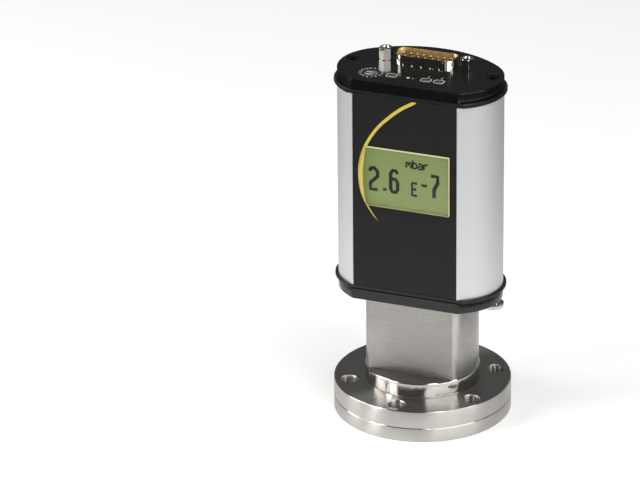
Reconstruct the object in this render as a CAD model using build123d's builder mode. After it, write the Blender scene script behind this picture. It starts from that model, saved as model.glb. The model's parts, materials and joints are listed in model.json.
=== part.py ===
from build123d import *
import os
from math import atan2, cos, degrees, radians, sqrt

# Vacuum sensor on a CF flange with a display, in millimetres, +Z up.
# The origin is the centre of the flange's sealing side, the display looks
# towards -Y, and the plug connector and the controls are on top.

# Clearances
press_clearance = 0.02
running_clearance = 0.05
slip_clearance = 0.1
key_clearance = 0.15

# How far a cutter reaches past the surface that it cuts
overcut = 1.0

# Measuring chamber, with the magnets beside it and the seal round its rim
chamber_diameter = 18.0
magnet_gap_to_chamber = 2.6
magnet_thickness = 4.2
magnet_width = 9.2
magnet_height = 16.0
magnet_cover = 1.0
seal_land = 0.6
seal_groove_width = 1.2
seal_groove_depth = 0.9
seal_cover = 0.7
feed_plate_thickness = 3.0

# Neck between the flange and the housing
neck_wall = 5.4
neck_flat_wall = 2.2
neck_length = 32.0
neck_cavity_depth = 13.0
neck_screw_y = 4.4
collar_step = 0.3
collar_height = 6.0
collar_groove = 0.3
collar_chamfer = 0.4

# CF flange: bolts clear of the collar, and a rim round them
flange_thickness = 13.0
flange_edge_chamfer = 0.3
bolt_hole_diameter = 6.7
bolt_count = 6
bolt_hole_chamfer = 0.3
bolt_gap_to_collar = 3.5
bolt_rim_wall = 2.3
rim_groove_height = 5.75
rim_groove_depth = 0.25

# Sealing side, from the bolts inwards to the port and its throat
bolt_recess_wall = 1.85
gasket_recess_depth = 1.4
gasket_land = 3.2
knife_edge_height = 0.8
knife_inner_slope = 1.6
knife_outer_slope = 0.4
knife_land = 2.15
leak_groove_width = 1.5
leak_groove_depth = 0.6
port_depth = 4.0
port_ledge = 1.8
throat_depth = 16.0

# Baffle in the port
baffle_thickness = 1.0
comb_margin = 2.5
comb_hole_width = 1.9
comb_pitch = 2.25
tab_notch_inset = 2.0
tab_notch_count = 3
tab_notch_width = 0.8
tab_notch_length = 2.6
clip_thickness = 0.75
clip_width = 1.1
clip_bite = 0.5
clip_gap = 9.0

# Electrodes
anode_ring_diameter = 13.0
anode_ring_wall = 0.9
anode_ring_width = 7.0
anode_ring_drop = 11.0
anode_stem_diameter = 1.5
insulator_diameter = 5.0
insulator_drop = 3.0
insulator_rise = 2.0
filament_pin_diameter = 0.8
filament_pin_x = 5.2
filament_pin_drop = 19.0
filament_diameter = 0.3
bead_diameter = 2.4
bead_wall = 0.15

# Sensor board in the neck
socket_height = 6.0
socket_length = 18.0
socket_width = 15.0
socket_chamfer = 1.5
pin_reach = 4.5
board_thickness = 1.6
sensor_board_length = 26.0
sensor_board_gap = 1.5

# Housing
housing_half_width = 33.1
housing_half_depth = 24.1
housing_centre_y = -2.1
housing_side_radius = 19.0
housing_flat_half_width = 21.75
housing_wall = 2.2
extrusion_length = 80.2
cap_height = 4.2
cap_floor = 2.0
cap_wall = 2.6
top_edge_chamfer = 0.2
bottom_edge_chamfer = 0.1
bead_height = 1.8
bead_overhang = 1.25
bead_round = 0.5
boss_inset = 4.4
boss_diameter = 6.0
cap_boss_diameter = 7.0
board_slot_y = 4.8
slot_rib_thickness = 1.2
slot_rib_reach = 3.6

# Label and display window
label_lip = 0.4
label_recess = 0.4
label_thickness = 0.3
window_right = 18.35
window_left = -18.3
window_drop = 20.9
window_height = 24.3
window_arc_radius = 25.5
window_proud = 1.2
window_foot_margin = 0.8
window_foot_gap = 0.15

# Display stack
lcd_glass_thickness = 1.8
lcd_margin = 1.6
backlight_thickness = 2.6
display_board_width = 41.0
display_board_height = 44.0
spacer_width = 5.0
spacer_inset_x = 3.0
spacer_inset_z = 3.0

# Main board and what it carries
main_board_side_gap = 2.4
main_board_bottom_gap = 0.6
main_board_top_gap = 1.2
board_slot_clearance = 0.12
hv_module_width = 26.0
hv_module_depth = 11.0
hv_module_height = 26.0
hv_module_chamfer = 0.5
processor_width = 10.0
processor_height = 1.4
capacitor_diameter = 6.3
capacitor_height = 8.0
capacitor_pitch = 9.0
header_length = 8.0
header_width = 2.5
header_overlap = 3.75
board_header_x = 16.0
display_header_length = 24.0

# Interface board under the top plate
interface_board_drop = 7.8
interface_board_boss_gap = 0.7
interface_board_margin = 3.0

# Plug connector, 15 pins in two rows
connector_y = 4.6
shell_width = 25.9
shell_depth = 9.2
shell_slant = 10.0
shell_round = 2.8
shell_wall = 0.5
shell_height = 6.0
connector_flange_width = 39.2
connector_flange_depth = 12.5
connector_flange_thickness = 1.0
connector_flange_round = 1.5
connector_body_rise = 0.8
connector_body_drop = 3.6
connector_body_width = 24.0
connector_body_depth = 10.6
pin_pitch = 2.77
pin_row_gap = 2.84
pin_diameter = 1.0
pin_rise = 4.4
pin_tip_chamfer = 0.3
pin_tail = 0.8
dimple_count = 5
dimple_pitch = 3.7
dimple_diameter = 1.7
dimple_depth = 0.3
dimple_rise = 0.57
jackscrew_spacing = 33.32
jackscrew_flats = 4.76
left_jackscrew_turn = 30
right_jackscrew_turn = 0
jackscrew_height = 4.8
jackscrew_bore = 2.9
jackscrew_bore_depth = 4.2
jackscrew_stud = 2.84
jackscrew_nut_height = 2.2

# Rotary switch and keys on the top plate
panel_row_y = -11.0
rotary_x = -16.9
rotor_diameter = 5.8
rotor_gap = 0.25
rotor_height = 2.3
rotor_shaft_diameter = 3.6
rotor_chamfer = 0.2
rotor_slot_width = 0.9
rotor_slot_depth = 0.9
rotor_slot_margin = 0.6
rotor_arrow_margin = 1.2
rotary_body_width = 7.6
rotary_body_height = 7.0
rotary_body_chamfer = 0.75
rotary_floor = 1.6
sink_depth = 0.25
adjust_key_x = -8.4
setpoint_key_1_x = 5.55
setpoint_key_2_x = 10.8
key_width = 3.2
key_depth = 2.6
key_round = 0.7
key_edge_round = 0.25
key_height = 3.2
key_stem_diameter = 2.0
key_stem_length = 2.6
key_travel = 0.4
tact_width = 4.4
tact_height = 4.2
tact_rest_gap = 0.25
status_lamp_x = -1.8
status_lamp_diameter = 1.4
ready_lamp_x = 0.2
ready_lamp_diameter = 0.8
lamp_edge_round = 0.15
lamp_base_width = 1.6

# Screws
screw_head_chamfer = 0.25
screw_drive_floor = 0.9
cap_screw_diameter = 3.0
cap_screw_head = 5.4
cap_screw_length = 11.0
cap_screw_drive = 2.0
small_screw_diameter = 2.0
small_screw_head = 3.8
small_screw_length = 6.0
small_screw_drive = 1.5
spacer_screw_head_height = 1.6
medium_screw_diameter = 2.5
medium_screw_head = 4.0
medium_screw_length = 6.5
medium_screw_drive = 2.0
plate_screw_gap = 0.28
plate_screw_flat_gap = 0.7
earth_screw_offset = 0.9
earth_head_diameter = 8.0
earth_head_height = 2.0
earth_head_gap = 2.0
earth_shank_diameter = 4.0
earth_screw_length = 12.0
earth_drive = 2.5
earth_knurl_count = 30
earth_knurl_depth = 0.25

# Neck and flange, from the chamber outwards
seal_groove_inner = chamber_diameter + 2 * seal_land
neck_cavity_flats = seal_groove_inner + 2 * (seal_groove_width + seal_cover)
neck_flats = neck_cavity_flats + 2 * neck_flat_wall
magnet_span = chamber_diameter + 2 * (magnet_gap_to_chamber + magnet_thickness)
neck_cavity_diameter = magnet_span + 2 * magnet_cover
neck_diameter = neck_cavity_diameter + 2 * neck_wall
collar_diameter = neck_diameter + 2 * collar_step
bolt_circle_diameter = collar_diameter + 2 * bolt_gap_to_collar + bolt_hole_diameter
flange_diameter = bolt_circle_diameter + bolt_hole_diameter + 2 * bolt_rim_wall

# Sealing side, from the bolts inwards
gasket_recess_diameter = bolt_circle_diameter - bolt_hole_diameter - 2 * bolt_recess_wall
knife_edge_diameter = gasket_recess_diameter - 2 * gasket_land
port_diameter = knife_edge_diameter - 2 * knife_land
throat_diameter = port_diameter - 2 * port_ledge
comb_diameter = throat_diameter - 2 * comb_margin
baffle_radius = port_diameter / 2 - slip_clearance
tab_notch_radius = baffle_radius - tab_notch_inset

# Screws of the feedthrough plate near the cavity's wall, screws of the bottom
# cap in the middle of the neck's wall, filament pins near the chamber's wall
plate_screw_reach = (neck_cavity_diameter - small_screw_head) / 2 - plate_screw_gap
plate_screw_y = (neck_cavity_flats - small_screw_head) / 2 - plate_screw_flat_gap
plate_screw_x = sqrt(plate_screw_reach ** 2 - plate_screw_y ** 2)
neck_wall_middle = (neck_cavity_diameter + neck_diameter) / 4
neck_screw_x = sqrt(neck_wall_middle ** 2 - neck_screw_y ** 2)
filament_pin_reach = (chamber_diameter - bead_diameter) / 2 - bead_wall
filament_pin_y = sqrt(filament_pin_reach ** 2 - filament_pin_x ** 2)
sensor_board_width = neck_cavity_flats - 2 * sensor_board_gap

# Heights of the seats, from the flange's sealing side upwards
collar_top = flange_thickness + collar_height
neck_top = collar_top + neck_length
plate_seat = neck_top - neck_cavity_depth
feed_plate_top = plate_seat + feed_plate_thickness
socket_top = feed_plate_top + socket_height
cap_bottom = neck_top
bottom_bead = cap_bottom + cap_height
extrusion_bottom = bottom_bead + bead_height
extrusion_top = extrusion_bottom + extrusion_length
top_plate_bottom = extrusion_top + bead_height
panel = top_plate_bottom + cap_height
panel_underside = panel - cap_floor
cap_inner_floor = cap_bottom + cap_floor
interface_board_top = panel_underside - interface_board_drop
interface_board_bottom = interface_board_top - board_thickness
connector_flange_bottom = panel_underside - connector_flange_thickness

# Housing outline: two broad arcs run into two side arcs, and the flat front
# cuts off whichever arc reaches its half width
side_centre_x = housing_half_width - housing_side_radius
broad_radius = (
    side_centre_x ** 2 + housing_half_depth ** 2 - housing_side_radius ** 2
) / (2 * (housing_half_depth - housing_side_radius))
broad_offset = broad_radius - housing_half_depth
tangent_angle = degrees(atan2(broad_offset, side_centre_x))
tangent_x = broad_radius * cos(radians(tangent_angle))
side_reach = housing_flat_half_width - side_centre_x
if housing_flat_half_width < tangent_x:
    flat_depth = sqrt(broad_radius ** 2 - housing_flat_half_width ** 2) - broad_offset
else:
    flat_depth = sqrt(housing_side_radius ** 2 - side_reach ** 2)
front_y = housing_centre_y - flat_depth

# Depths behind the housing's front
label_back_y = front_y + label_recess
wall_inside_y = front_y + housing_wall
lcd_front_y = wall_inside_y + slip_clearance
lcd_back_y = lcd_front_y + lcd_glass_thickness
display_board_front_y = lcd_back_y + backlight_thickness
display_board_back_y = display_board_front_y + board_thickness
main_board_front_y = board_slot_y - board_thickness / 2
main_board_back_y = board_slot_y + board_thickness / 2
window_middle = extrusion_top - window_drop - window_height / 2
window_centre_x = (window_left + window_right) / 2

key_positions = {
    "adjust_key": adjust_key_x,
    "setpoint_key_1": setpoint_key_1_x,
    "setpoint_key_2": setpoint_key_2_x,
}
boss_x = housing_half_width - boss_inset
boss_places = [(-boss_x, 0), (boss_x, 0)]
earth_screw_x = boss_x + earth_screw_offset
main_board_width = 2 * (housing_half_width - housing_wall - main_board_side_gap)
interface_board_half_width = boss_x - boss_diameter / 2 - interface_board_boss_gap


def housing_outline(height, grow=0.0):
    """The housing's outline at one height; grow moves it outwards."""
    with BuildSketch(Plane.XY.offset(height)) as outline:
        with BuildLine():
            side = CenterArc(
                (side_centre_x, housing_centre_y),
                housing_side_radius,
                -tangent_angle,
                2 * tangent_angle,
            )
            mirror(side, about=Plane.YZ)
            for turn in (0, 180):
                CenterArc(
                    (0, housing_centre_y - broad_offset * cos(radians(turn))),
                    broad_radius,
                    turn + tangent_angle,
                    180 - 2 * tangent_angle,
                )
        make_face()
        with Locations((0, front_y)):
            Rectangle(
                2 * housing_half_width,
                2 * housing_half_depth,
                align=(Align.CENTER, Align.MIN),
                mode=Mode.INTERSECT,
            )
        if grow:
            offset(amount=grow, kind=Kind.INTERSECTION)
    return outline.sketch


def flatted_circle(height, diameter, flats):
    """A circle with two flats, front and back."""
    with BuildSketch(Plane.XY.offset(height)) as section:
        Circle(diameter / 2)
        Rectangle(diameter, flats, mode=Mode.INTERSECT)
    return section.sketch


def plate_screw_grid():
    """The four screws of the feedthrough plate."""
    return GridLocations(2 * plate_screw_x, 2 * plate_screw_y, 2, 2)


def neck_screw_grid():
    """The four screws between the bottom cap and the neck."""
    return GridLocations(2 * neck_screw_x, 2 * neck_screw_y, 2, 2)


def spacer_grid():
    """The four spacers between the display board and the main board."""
    return GridLocations(
        display_board_width - 2 * spacer_inset_x,
        display_board_height - 2 * spacer_inset_z,
        2,
        2,
    )


def screw(shank_diameter, length, head_diameter, head_height, drive_width):
    """Cap screw with a hexagon socket; its head stands on the origin."""
    with BuildPart() as piece:
        with BuildSketch():
            Circle(head_diameter / 2)
        extrude(amount=head_height)
        chamfer(piece.edges().group_by(Axis.Z)[-1], length=screw_head_chamfer)
        with BuildSketch():
            Circle(shank_diameter / 2)
        extrude(amount=-length)
        with BuildSketch(Plane.XY.offset(head_height)):
            RegularPolygon(drive_width / 2, 6, major_radius=False)
        extrude(amount=screw_drive_floor - head_height, mode=Mode.SUBTRACT)
    return piece.part


def countersunk_screw(shank_diameter, length, head_diameter, drive_width):
    """Countersunk screw whose head lies flush with the origin's plane."""
    cone_height = (head_diameter - shank_diameter) / 2
    with BuildPart() as piece:
        with BuildSketch(Plane.XZ):
            with BuildLine():
                Polyline(
                    (0, 0),
                    (head_diameter / 2, 0),
                    (shank_diameter / 2, -cone_height),
                    (shank_diameter / 2, -length),
                    (0, -length),
                    close=True,
                )
            make_face()
        revolve(axis=Axis.Z)
        with BuildSketch():
            RegularPolygon(drive_width / 2, 6, major_radius=False)
        extrude(amount=-cone_height, mode=Mode.SUBTRACT)
    return piece.part


def shell_outline(height, shrink=0.0):
    """The connector's D shape, its wide side to the back."""
    with BuildSketch(Plane.XY.offset(height)) as outline:
        with Locations((0, connector_y)):
            Trapezoid(shell_width, shell_depth, 90 - shell_slant, rotation=180)
        fillet(outline.vertices(), radius=shell_round)
        if shrink:
            offset(amount=-shrink)
    return outline.sketch


def save(name, part):
    """Labels a finished piece and writes it to its own file."""
    part.label = name
    export_step(part, "parts/" + name + ".step")


os.makedirs("parts", exist_ok=True)

# Flange body: the flange, collar and neck are turned and milled from one bar
magnet_x = chamber_diameter / 2 + magnet_gap_to_chamber + magnet_thickness / 2

with BuildPart() as flange_body:
    with BuildSketch():
        Circle(flange_diameter / 2)
    extrude(amount=flange_thickness)
    chamfer(flange_body.edges().filter_by(GeomType.CIRCLE), length=flange_edge_chamfer)
    with BuildSketch(Plane.XY.offset(flange_thickness)):
        with PolarLocations(bolt_circle_diameter / 2, bolt_count, start_angle=30):
            Circle(bolt_hole_diameter / 2)
    extrude(amount=-flange_thickness, mode=Mode.SUBTRACT)
    rims = flange_body.edges().filter_by(GeomType.CIRCLE)
    bolt_rims = [rim for rim in rims if abs(rim.radius - bolt_hole_diameter / 2) < 0.01]
    chamfer(bolt_rims, length=bolt_hole_chamfer)
    with BuildSketch(Plane.XY.offset(flange_thickness)):
        Circle(collar_diameter / 2 - collar_groove)
    extrude(amount=collar_groove)
    with BuildSketch(Plane.XY.offset(flange_thickness + collar_groove)):
        Circle(collar_diameter / 2)
    extrude(amount=collar_height - collar_groove)
    collar_rim = flange_body.faces().sort_by(Axis.Z)[-1].edges()
    chamfer(collar_rim, length=collar_chamfer)
    extrude(flatted_circle(collar_top, neck_diameter, neck_flats), amount=neck_length)
    with BuildSketch(Plane.XZ):
        with BuildLine():
            Polyline(
                (flange_diameter / 2 - rim_groove_depth, rim_groove_height),
                (flange_diameter / 2 + overcut, rim_groove_height - rim_groove_depth - overcut),
                (flange_diameter / 2 + overcut, rim_groove_height + rim_groove_depth + overcut),
                close=True,
            )
        make_face()
    revolve(axis=Axis.Z, mode=Mode.SUBTRACT)
    with BuildSketch(Plane.XZ):
        with BuildLine():
            Polyline(
                (0, 0),
                (gasket_recess_diameter / 2, 0),
                (gasket_recess_diameter / 2, gasket_recess_depth),
                (knife_edge_diameter / 2 + knife_outer_slope, gasket_recess_depth),
                (knife_edge_diameter / 2, gasket_recess_depth - knife_edge_height),
                (knife_edge_diameter / 2 - knife_inner_slope, gasket_recess_depth),
                (port_diameter / 2, gasket_recess_depth),
                (port_diameter / 2, port_depth - baffle_thickness - clip_thickness),
                (port_diameter / 2 + clip_bite, port_depth - baffle_thickness - clip_thickness),
                (port_diameter / 2 + clip_bite, port_depth - baffle_thickness),
                (port_diameter / 2, port_depth - baffle_thickness),
                (port_diameter / 2, port_depth),
                (throat_diameter / 2, port_depth),
                (throat_diameter / 2, throat_depth),
                (chamber_diameter / 2, throat_depth),
                (chamber_diameter / 2, plate_seat),
                (0, plate_seat),
                close=True,
            )
        make_face()
    revolve(axis=Axis.Z, mode=Mode.SUBTRACT)
    with BuildSketch(Plane.XY):
        Rectangle(flange_diameter, leak_groove_width)
        Circle(gasket_recess_diameter / 2, mode=Mode.SUBTRACT)
    extrude(amount=leak_groove_depth, mode=Mode.SUBTRACT)
    extrude(
        flatted_circle(plate_seat, neck_cavity_diameter, neck_cavity_flats),
        amount=neck_cavity_depth,
        mode=Mode.SUBTRACT,
    )
    with BuildSketch(Plane.XY.offset(plate_seat)):
        Circle(seal_groove_inner / 2 + seal_groove_width)
        Circle(seal_groove_inner / 2, mode=Mode.SUBTRACT)
    extrude(amount=-seal_groove_depth, mode=Mode.SUBTRACT)
    with BuildSketch(Plane.XY.offset(plate_seat)):
        with GridLocations(2 * magnet_x, 0, 2, 1):
            Rectangle(
                magnet_thickness + 2 * press_clearance,
                magnet_width + 2 * press_clearance,
            )
    extrude(amount=-magnet_height, mode=Mode.SUBTRACT)
    with BuildSketch(Plane.XY.offset(plate_seat)):
        with plate_screw_grid():
            Circle(small_screw_diameter / 2 + press_clearance)
    extrude(amount=-small_screw_length, mode=Mode.SUBTRACT)
    with BuildSketch(Plane.XY.offset(neck_top)):
        with neck_screw_grid():
            Circle(medium_screw_diameter / 2 + press_clearance)
    extrude(amount=-medium_screw_length, mode=Mode.SUBTRACT)
save("flange_body", flange_body.part)

# Baffle: a thin disc with an etched honeycomb and three sprung tabs
comb_row_pitch = comb_pitch * sqrt(3) / 2
comb_rows = int(comb_diameter / comb_row_pitch)
comb_reach = comb_diameter / 2 - comb_hole_width / 2
comb_places = []
for row in range(-comb_rows, comb_rows + 1):
    for column in range(-comb_rows, comb_rows + 1):
        comb_x = (column + row % 2 / 2) * comb_pitch
        comb_y = row * comb_row_pitch
        if comb_x ** 2 + comb_y ** 2 < comb_reach ** 2:
            comb_places.append((comb_x, comb_y))

with BuildPart() as baffle:
    with BuildSketch(Plane.XY.offset(port_depth - baffle_thickness)):
        Circle(baffle_radius)
        with Locations(*comb_places):
            RegularPolygon(
                comb_hole_width / 2, 6, major_radius=False, rotation=30, mode=Mode.SUBTRACT
            )
        with PolarLocations(tab_notch_radius, tab_notch_count, start_angle=90):
            Rectangle(tab_notch_length, tab_notch_width, mode=Mode.SUBTRACT)
            with Locations((-tab_notch_length / 2, -tab_notch_length / 2)):
                Rectangle(tab_notch_width, tab_notch_length, mode=Mode.SUBTRACT)
    extrude(amount=baffle_thickness)
save("baffle", baffle.part)

# Spring clip that snaps into the port's groove under the baffle
clip_outer = port_diameter / 2 + clip_bite - press_clearance
with BuildPart() as baffle_clip:
    with BuildSketch(Plane.XY.offset(port_depth - baffle_thickness - clip_thickness)):
        Circle(clip_outer)
        Circle(clip_outer - clip_width, mode=Mode.SUBTRACT)
        with Locations((0, -clip_outer)):
            Rectangle(clip_gap, 2 * (clip_width + overcut), mode=Mode.SUBTRACT)
    extrude(amount=clip_thickness)
save("baffle_clip", baffle_clip.part)

# Magnets in the neck's side pockets
with BuildPart() as side_magnets:
    with BuildSketch(Plane.XY.offset(plate_seat)):
        with GridLocations(2 * magnet_x, 0, 2, 1):
            Rectangle(magnet_thickness, magnet_width)
    extrude(amount=-magnet_height)
save("side_magnets", side_magnets.part)

# Seal between the chamber's rim and the feedthrough plate
with BuildPart() as seal_ring:
    with BuildSketch(Plane.XY.offset(plate_seat)):
        Circle(seal_groove_inner / 2 + seal_groove_width - press_clearance)
        Circle(seal_groove_inner / 2 + press_clearance, mode=Mode.SUBTRACT)
    extrude(amount=-seal_groove_depth)
save("seal_ring", seal_ring.part)

# Feedthrough plate that closes the chamber
filament_places = [(-filament_pin_x, filament_pin_y), (filament_pin_x, filament_pin_y)]
with BuildPart() as feedthrough_plate:
    extrude(
        flatted_circle(
            plate_seat,
            neck_cavity_diameter - 2 * slip_clearance,
            neck_cavity_flats - 2 * slip_clearance,
        ),
        amount=feed_plate_thickness,
    )
    with BuildSketch(Plane.XY.offset(plate_seat)):
        Circle(insulator_diameter / 2 + press_clearance)
        with Locations(*filament_places):
            Circle(bead_diameter / 2 + press_clearance)
        with plate_screw_grid():
            Circle(small_screw_diameter / 2 + slip_clearance)
    extrude(amount=feed_plate_thickness, mode=Mode.SUBTRACT)
save("feedthrough_plate", feedthrough_plate.part)

plate_screw = screw(
    small_screw_diameter,
    small_screw_length + feed_plate_thickness - slip_clearance,
    small_screw_head,
    small_screw_diameter,
    small_screw_drive,
)
with BuildPart() as plate_screws:
    with Locations(Plane.XY.offset(feed_plate_top)):
        with plate_screw_grid():
            add(plate_screw)
save("plate_screws", plate_screws.part)

# Anode: a short tube across the chamber on a stem through the insulator
anode_centre = plate_seat - anode_ring_drop
pin_top = feed_plate_top + pin_reach
with BuildPart() as anode_ring:
    with BuildSketch(Plane.YZ.offset(-anode_ring_width / 2)):
        with Locations((0, anode_centre)):
            Circle(anode_ring_diameter / 2)
            Circle(anode_ring_diameter / 2 - anode_ring_wall, mode=Mode.SUBTRACT)
    extrude(amount=anode_ring_width)
    stem_foot = anode_centre + anode_ring_diameter / 2 - anode_ring_wall / 2
    with BuildSketch(Plane.XY.offset(stem_foot)):
        Circle(anode_stem_diameter / 2)
    extrude(amount=pin_top - stem_foot)
save("anode_ring", anode_ring.part)

with BuildPart() as anode_insulator:
    with BuildSketch(Plane.XY.offset(plate_seat - insulator_drop)):
        Circle(insulator_diameter / 2)
        Circle(anode_stem_diameter / 2 + press_clearance, mode=Mode.SUBTRACT)
    extrude(amount=insulator_drop + feed_plate_thickness + insulator_rise)
save("anode_insulator", anode_insulator.part)

# Heated filament on two pins, each sealed in by a glass bead
with BuildPart() as pin_beads:
    with BuildSketch(Plane.XY.offset(plate_seat)):
        with Locations(*filament_places):
            Circle(bead_diameter / 2)
            Circle(filament_pin_diameter / 2 + press_clearance, mode=Mode.SUBTRACT)
    extrude(amount=feed_plate_thickness)
save("pin_beads", pin_beads.part)

filament_height = plate_seat - filament_pin_drop + filament_pin_diameter
with BuildPart() as filament_pins:
    with BuildSketch(Plane.XY.offset(pin_top)):
        with Locations(*filament_places):
            Circle(filament_pin_diameter / 2)
    extrude(amount=plate_seat - filament_pin_drop - pin_top)
    with BuildSketch(Plane.YZ.offset(-filament_pin_x - filament_pin_diameter)):
        with Locations((filament_pin_y, filament_height)):
            Circle(filament_diameter / 2 + press_clearance)
    extrude(amount=2 * (filament_pin_x + filament_pin_diameter), mode=Mode.SUBTRACT)
save("filament_pins", filament_pins.part)

with BuildPart() as filament:
    with BuildSketch(Plane.YZ.offset(-filament_pin_x - filament_pin_diameter / 2)):
        with Locations((filament_pin_y, filament_height)):
            Circle(filament_diameter / 2)
    extrude(amount=2 * filament_pin_x + filament_pin_diameter)
save("filament", filament.part)

# Socket that plugs on the pins, with the small sensor board on it
with BuildPart() as sensor_socket:
    with BuildSketch(Plane.XY.offset(feed_plate_top)):
        Rectangle(socket_length, socket_width)
    extrude(amount=socket_height)
    chamfer(sensor_socket.edges().filter_by(Axis.Z), length=socket_chamfer)
    with BuildSketch(Plane.XY.offset(feed_plate_top)):
        Circle(anode_stem_diameter / 2 + slip_clearance)
        with Locations(*filament_places):
            Circle(filament_pin_diameter / 2 + slip_clearance)
    extrude(amount=pin_reach + slip_clearance, mode=Mode.SUBTRACT)
    with BuildSketch(Plane.XY.offset(feed_plate_top)):
        Circle(insulator_diameter / 2 + slip_clearance)
    extrude(amount=insulator_rise + slip_clearance, mode=Mode.SUBTRACT)
    with BuildSketch(Plane.XY.offset(feed_plate_top)):
        with plate_screw_grid():
            Circle(small_screw_head / 2 + slip_clearance)
    extrude(amount=small_screw_diameter + slip_clearance, mode=Mode.SUBTRACT)
save("sensor_socket", sensor_socket.part)

with BuildPart() as sensor_board:
    with BuildSketch(Plane.XY.offset(socket_top)):
        Rectangle(sensor_board_length, sensor_board_width)
        Circle(neck_cavity_diameter / 2 - slip_clearance, mode=Mode.INTERSECT)
    extrude(amount=board_thickness)
save("sensor_board", sensor_board.part)

sensor_header_top = extrusion_bottom + main_board_bottom_gap + header_width
with BuildPart() as sensor_header:
    with BuildSketch(Plane.XY.offset(socket_top + board_thickness)):
        with Locations((0, main_board_front_y - header_width / 2)):
            Rectangle(header_length, header_width)
    extrude(amount=sensor_header_top - socket_top - board_thickness)
save("sensor_header", sensor_header.part)

# Bottom cap: a shallow tray on top of the neck
with BuildPart() as bottom_cap:
    extrude(housing_outline(cap_bottom), amount=cap_height)
    chamfer(bottom_cap.faces().sort_by(Axis.Z)[0].edges(), length=bottom_edge_chamfer)
    extrude(
        housing_outline(cap_inner_floor, -cap_wall),
        amount=cap_height - cap_floor,
        mode=Mode.SUBTRACT,
    )
    with BuildSketch(Plane.XY.offset(cap_bottom)):
        with Locations(*boss_places):
            Circle(cap_boss_diameter / 2)
    extrude(amount=cap_height)
    extrude(
        flatted_circle(cap_bottom, neck_cavity_diameter, neck_cavity_flats),
        amount=cap_floor,
        mode=Mode.SUBTRACT,
    )
    with BuildSketch(Plane.XY.offset(cap_bottom)):
        with neck_screw_grid():
            Circle(medium_screw_diameter / 2 + slip_clearance)
        with Locations((-boss_x, 0)):
            Circle(cap_screw_diameter / 2 + slip_clearance)
        with Locations((earth_screw_x, 0)):
            Circle(earth_shank_diameter / 2 + slip_clearance)
    extrude(amount=cap_height, mode=Mode.SUBTRACT)
    with Locations(Plane((-boss_x, 0, cap_bottom), z_dir=(0, 0, -1))):
        CounterSinkHole(
            cap_screw_diameter / 2 + slip_clearance,
            cap_screw_head / 2 + sink_depth,
            cap_height,
            90,
        )
save("bottom_cap", bottom_cap.part)

neck_screw = screw(
    medium_screw_diameter,
    medium_screw_length + cap_floor - slip_clearance,
    medium_screw_head,
    medium_screw_diameter,
    medium_screw_drive,
)
with BuildPart() as neck_screws:
    with Locations(Plane.XY.offset(cap_inner_floor)):
        with neck_screw_grid():
            add(neck_screw)
save("neck_screws", neck_screws.part)


def bead_outline(height):
    """The bead overhangs the round sides and is flush with the flat front."""
    bead_half_width = housing_half_width + bead_overhang
    bead_depth = housing_centre_y + housing_half_depth + bead_overhang - front_y
    with BuildSketch(Plane.XY.offset(height)) as outline:
        add(housing_outline(0, bead_overhang))
        with Locations((0, front_y)):
            Rectangle(
                2 * bead_half_width,
                bead_depth,
                align=(Align.CENTER, Align.MIN),
                mode=Mode.INTERSECT,
            )
    return outline.sketch


def gasket(height, screw_places):
    """Rubber bead between an end cap and the extrusion."""
    with BuildPart() as piece:
        extrude(bead_outline(height), amount=bead_height)
        ends = piece.faces().filter_by(Axis.Z)
        chamfer(ends.edges(), length=bead_round)
        extrude(
            housing_outline(height, -housing_wall),
            amount=bead_height,
            mode=Mode.SUBTRACT,
        )
        with BuildSketch(Plane.XY.offset(height)):
            with Locations(*boss_places):
                Circle(boss_diameter / 2)
        extrude(amount=bead_height)
        with BuildSketch(Plane.XY.offset(height)):
            with Locations(*screw_places):
                Circle(earth_shank_diameter / 2 + slip_clearance)
        extrude(amount=bead_height, mode=Mode.SUBTRACT)
    return piece.part


save("bottom_gasket", gasket(bottom_bead, [(-boss_x, 0), (earth_screw_x, 0)]))
save("top_gasket", gasket(extrusion_top, boss_places))

# Extruded housing: screw bosses and board slots inside, a label recess and
# the window's opening in its flat front
label_half_width = housing_flat_half_width - label_lip
rib_pitch = board_thickness + 2 * board_slot_clearance + slot_rib_thickness
window_foot_width = window_right - window_left + 2 * window_foot_margin
window_foot_height = window_height + 2 * window_foot_margin
with BuildPart() as extrusion:
    extrude(housing_outline(extrusion_bottom), amount=extrusion_length)
    extrude(
        housing_outline(extrusion_bottom, -housing_wall),
        amount=extrusion_length,
        mode=Mode.SUBTRACT,
    )
    with BuildSketch(Plane.XY.offset(extrusion_bottom)):
        with Locations(*boss_places):
            Circle(boss_diameter / 2)
        with Locations((0, board_slot_y)):
            with GridLocations(2 * housing_half_width, rib_pitch, 2, 2):
                Rectangle(2 * (housing_wall + slot_rib_reach), slot_rib_thickness)
        add(housing_outline(0), mode=Mode.INTERSECT)
        with Locations((-boss_x, 0)):
            Circle(cap_screw_diameter / 2 + press_clearance, mode=Mode.SUBTRACT)
        with Locations((boss_x, 0)):
            Circle(cap_screw_diameter / 2 + press_clearance, mode=Mode.SUBTRACT)
    extrude(amount=extrusion_length)
    with BuildSketch(Plane((earth_screw_x, 0, extrusion_bottom))):
        Circle(earth_shank_diameter / 2 + press_clearance)
    extrude(amount=earth_screw_length - cap_height, mode=Mode.SUBTRACT)
    with BuildSketch(Plane.XY.offset(extrusion_bottom)):
        with Locations((0, front_y)):
            Rectangle(2 * label_half_width, 2 * label_recess)
    extrude(amount=extrusion_length, mode=Mode.SUBTRACT)
    with BuildSketch(Plane.XZ.offset(-front_y)):
        with Locations((window_centre_x, window_middle)):
            Rectangle(
                window_foot_width + 2 * window_foot_gap,
                window_foot_height + 2 * window_foot_gap,
            )
    extrude(amount=-2 * housing_wall, mode=Mode.SUBTRACT)
save("extrusion", extrusion.part)


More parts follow.
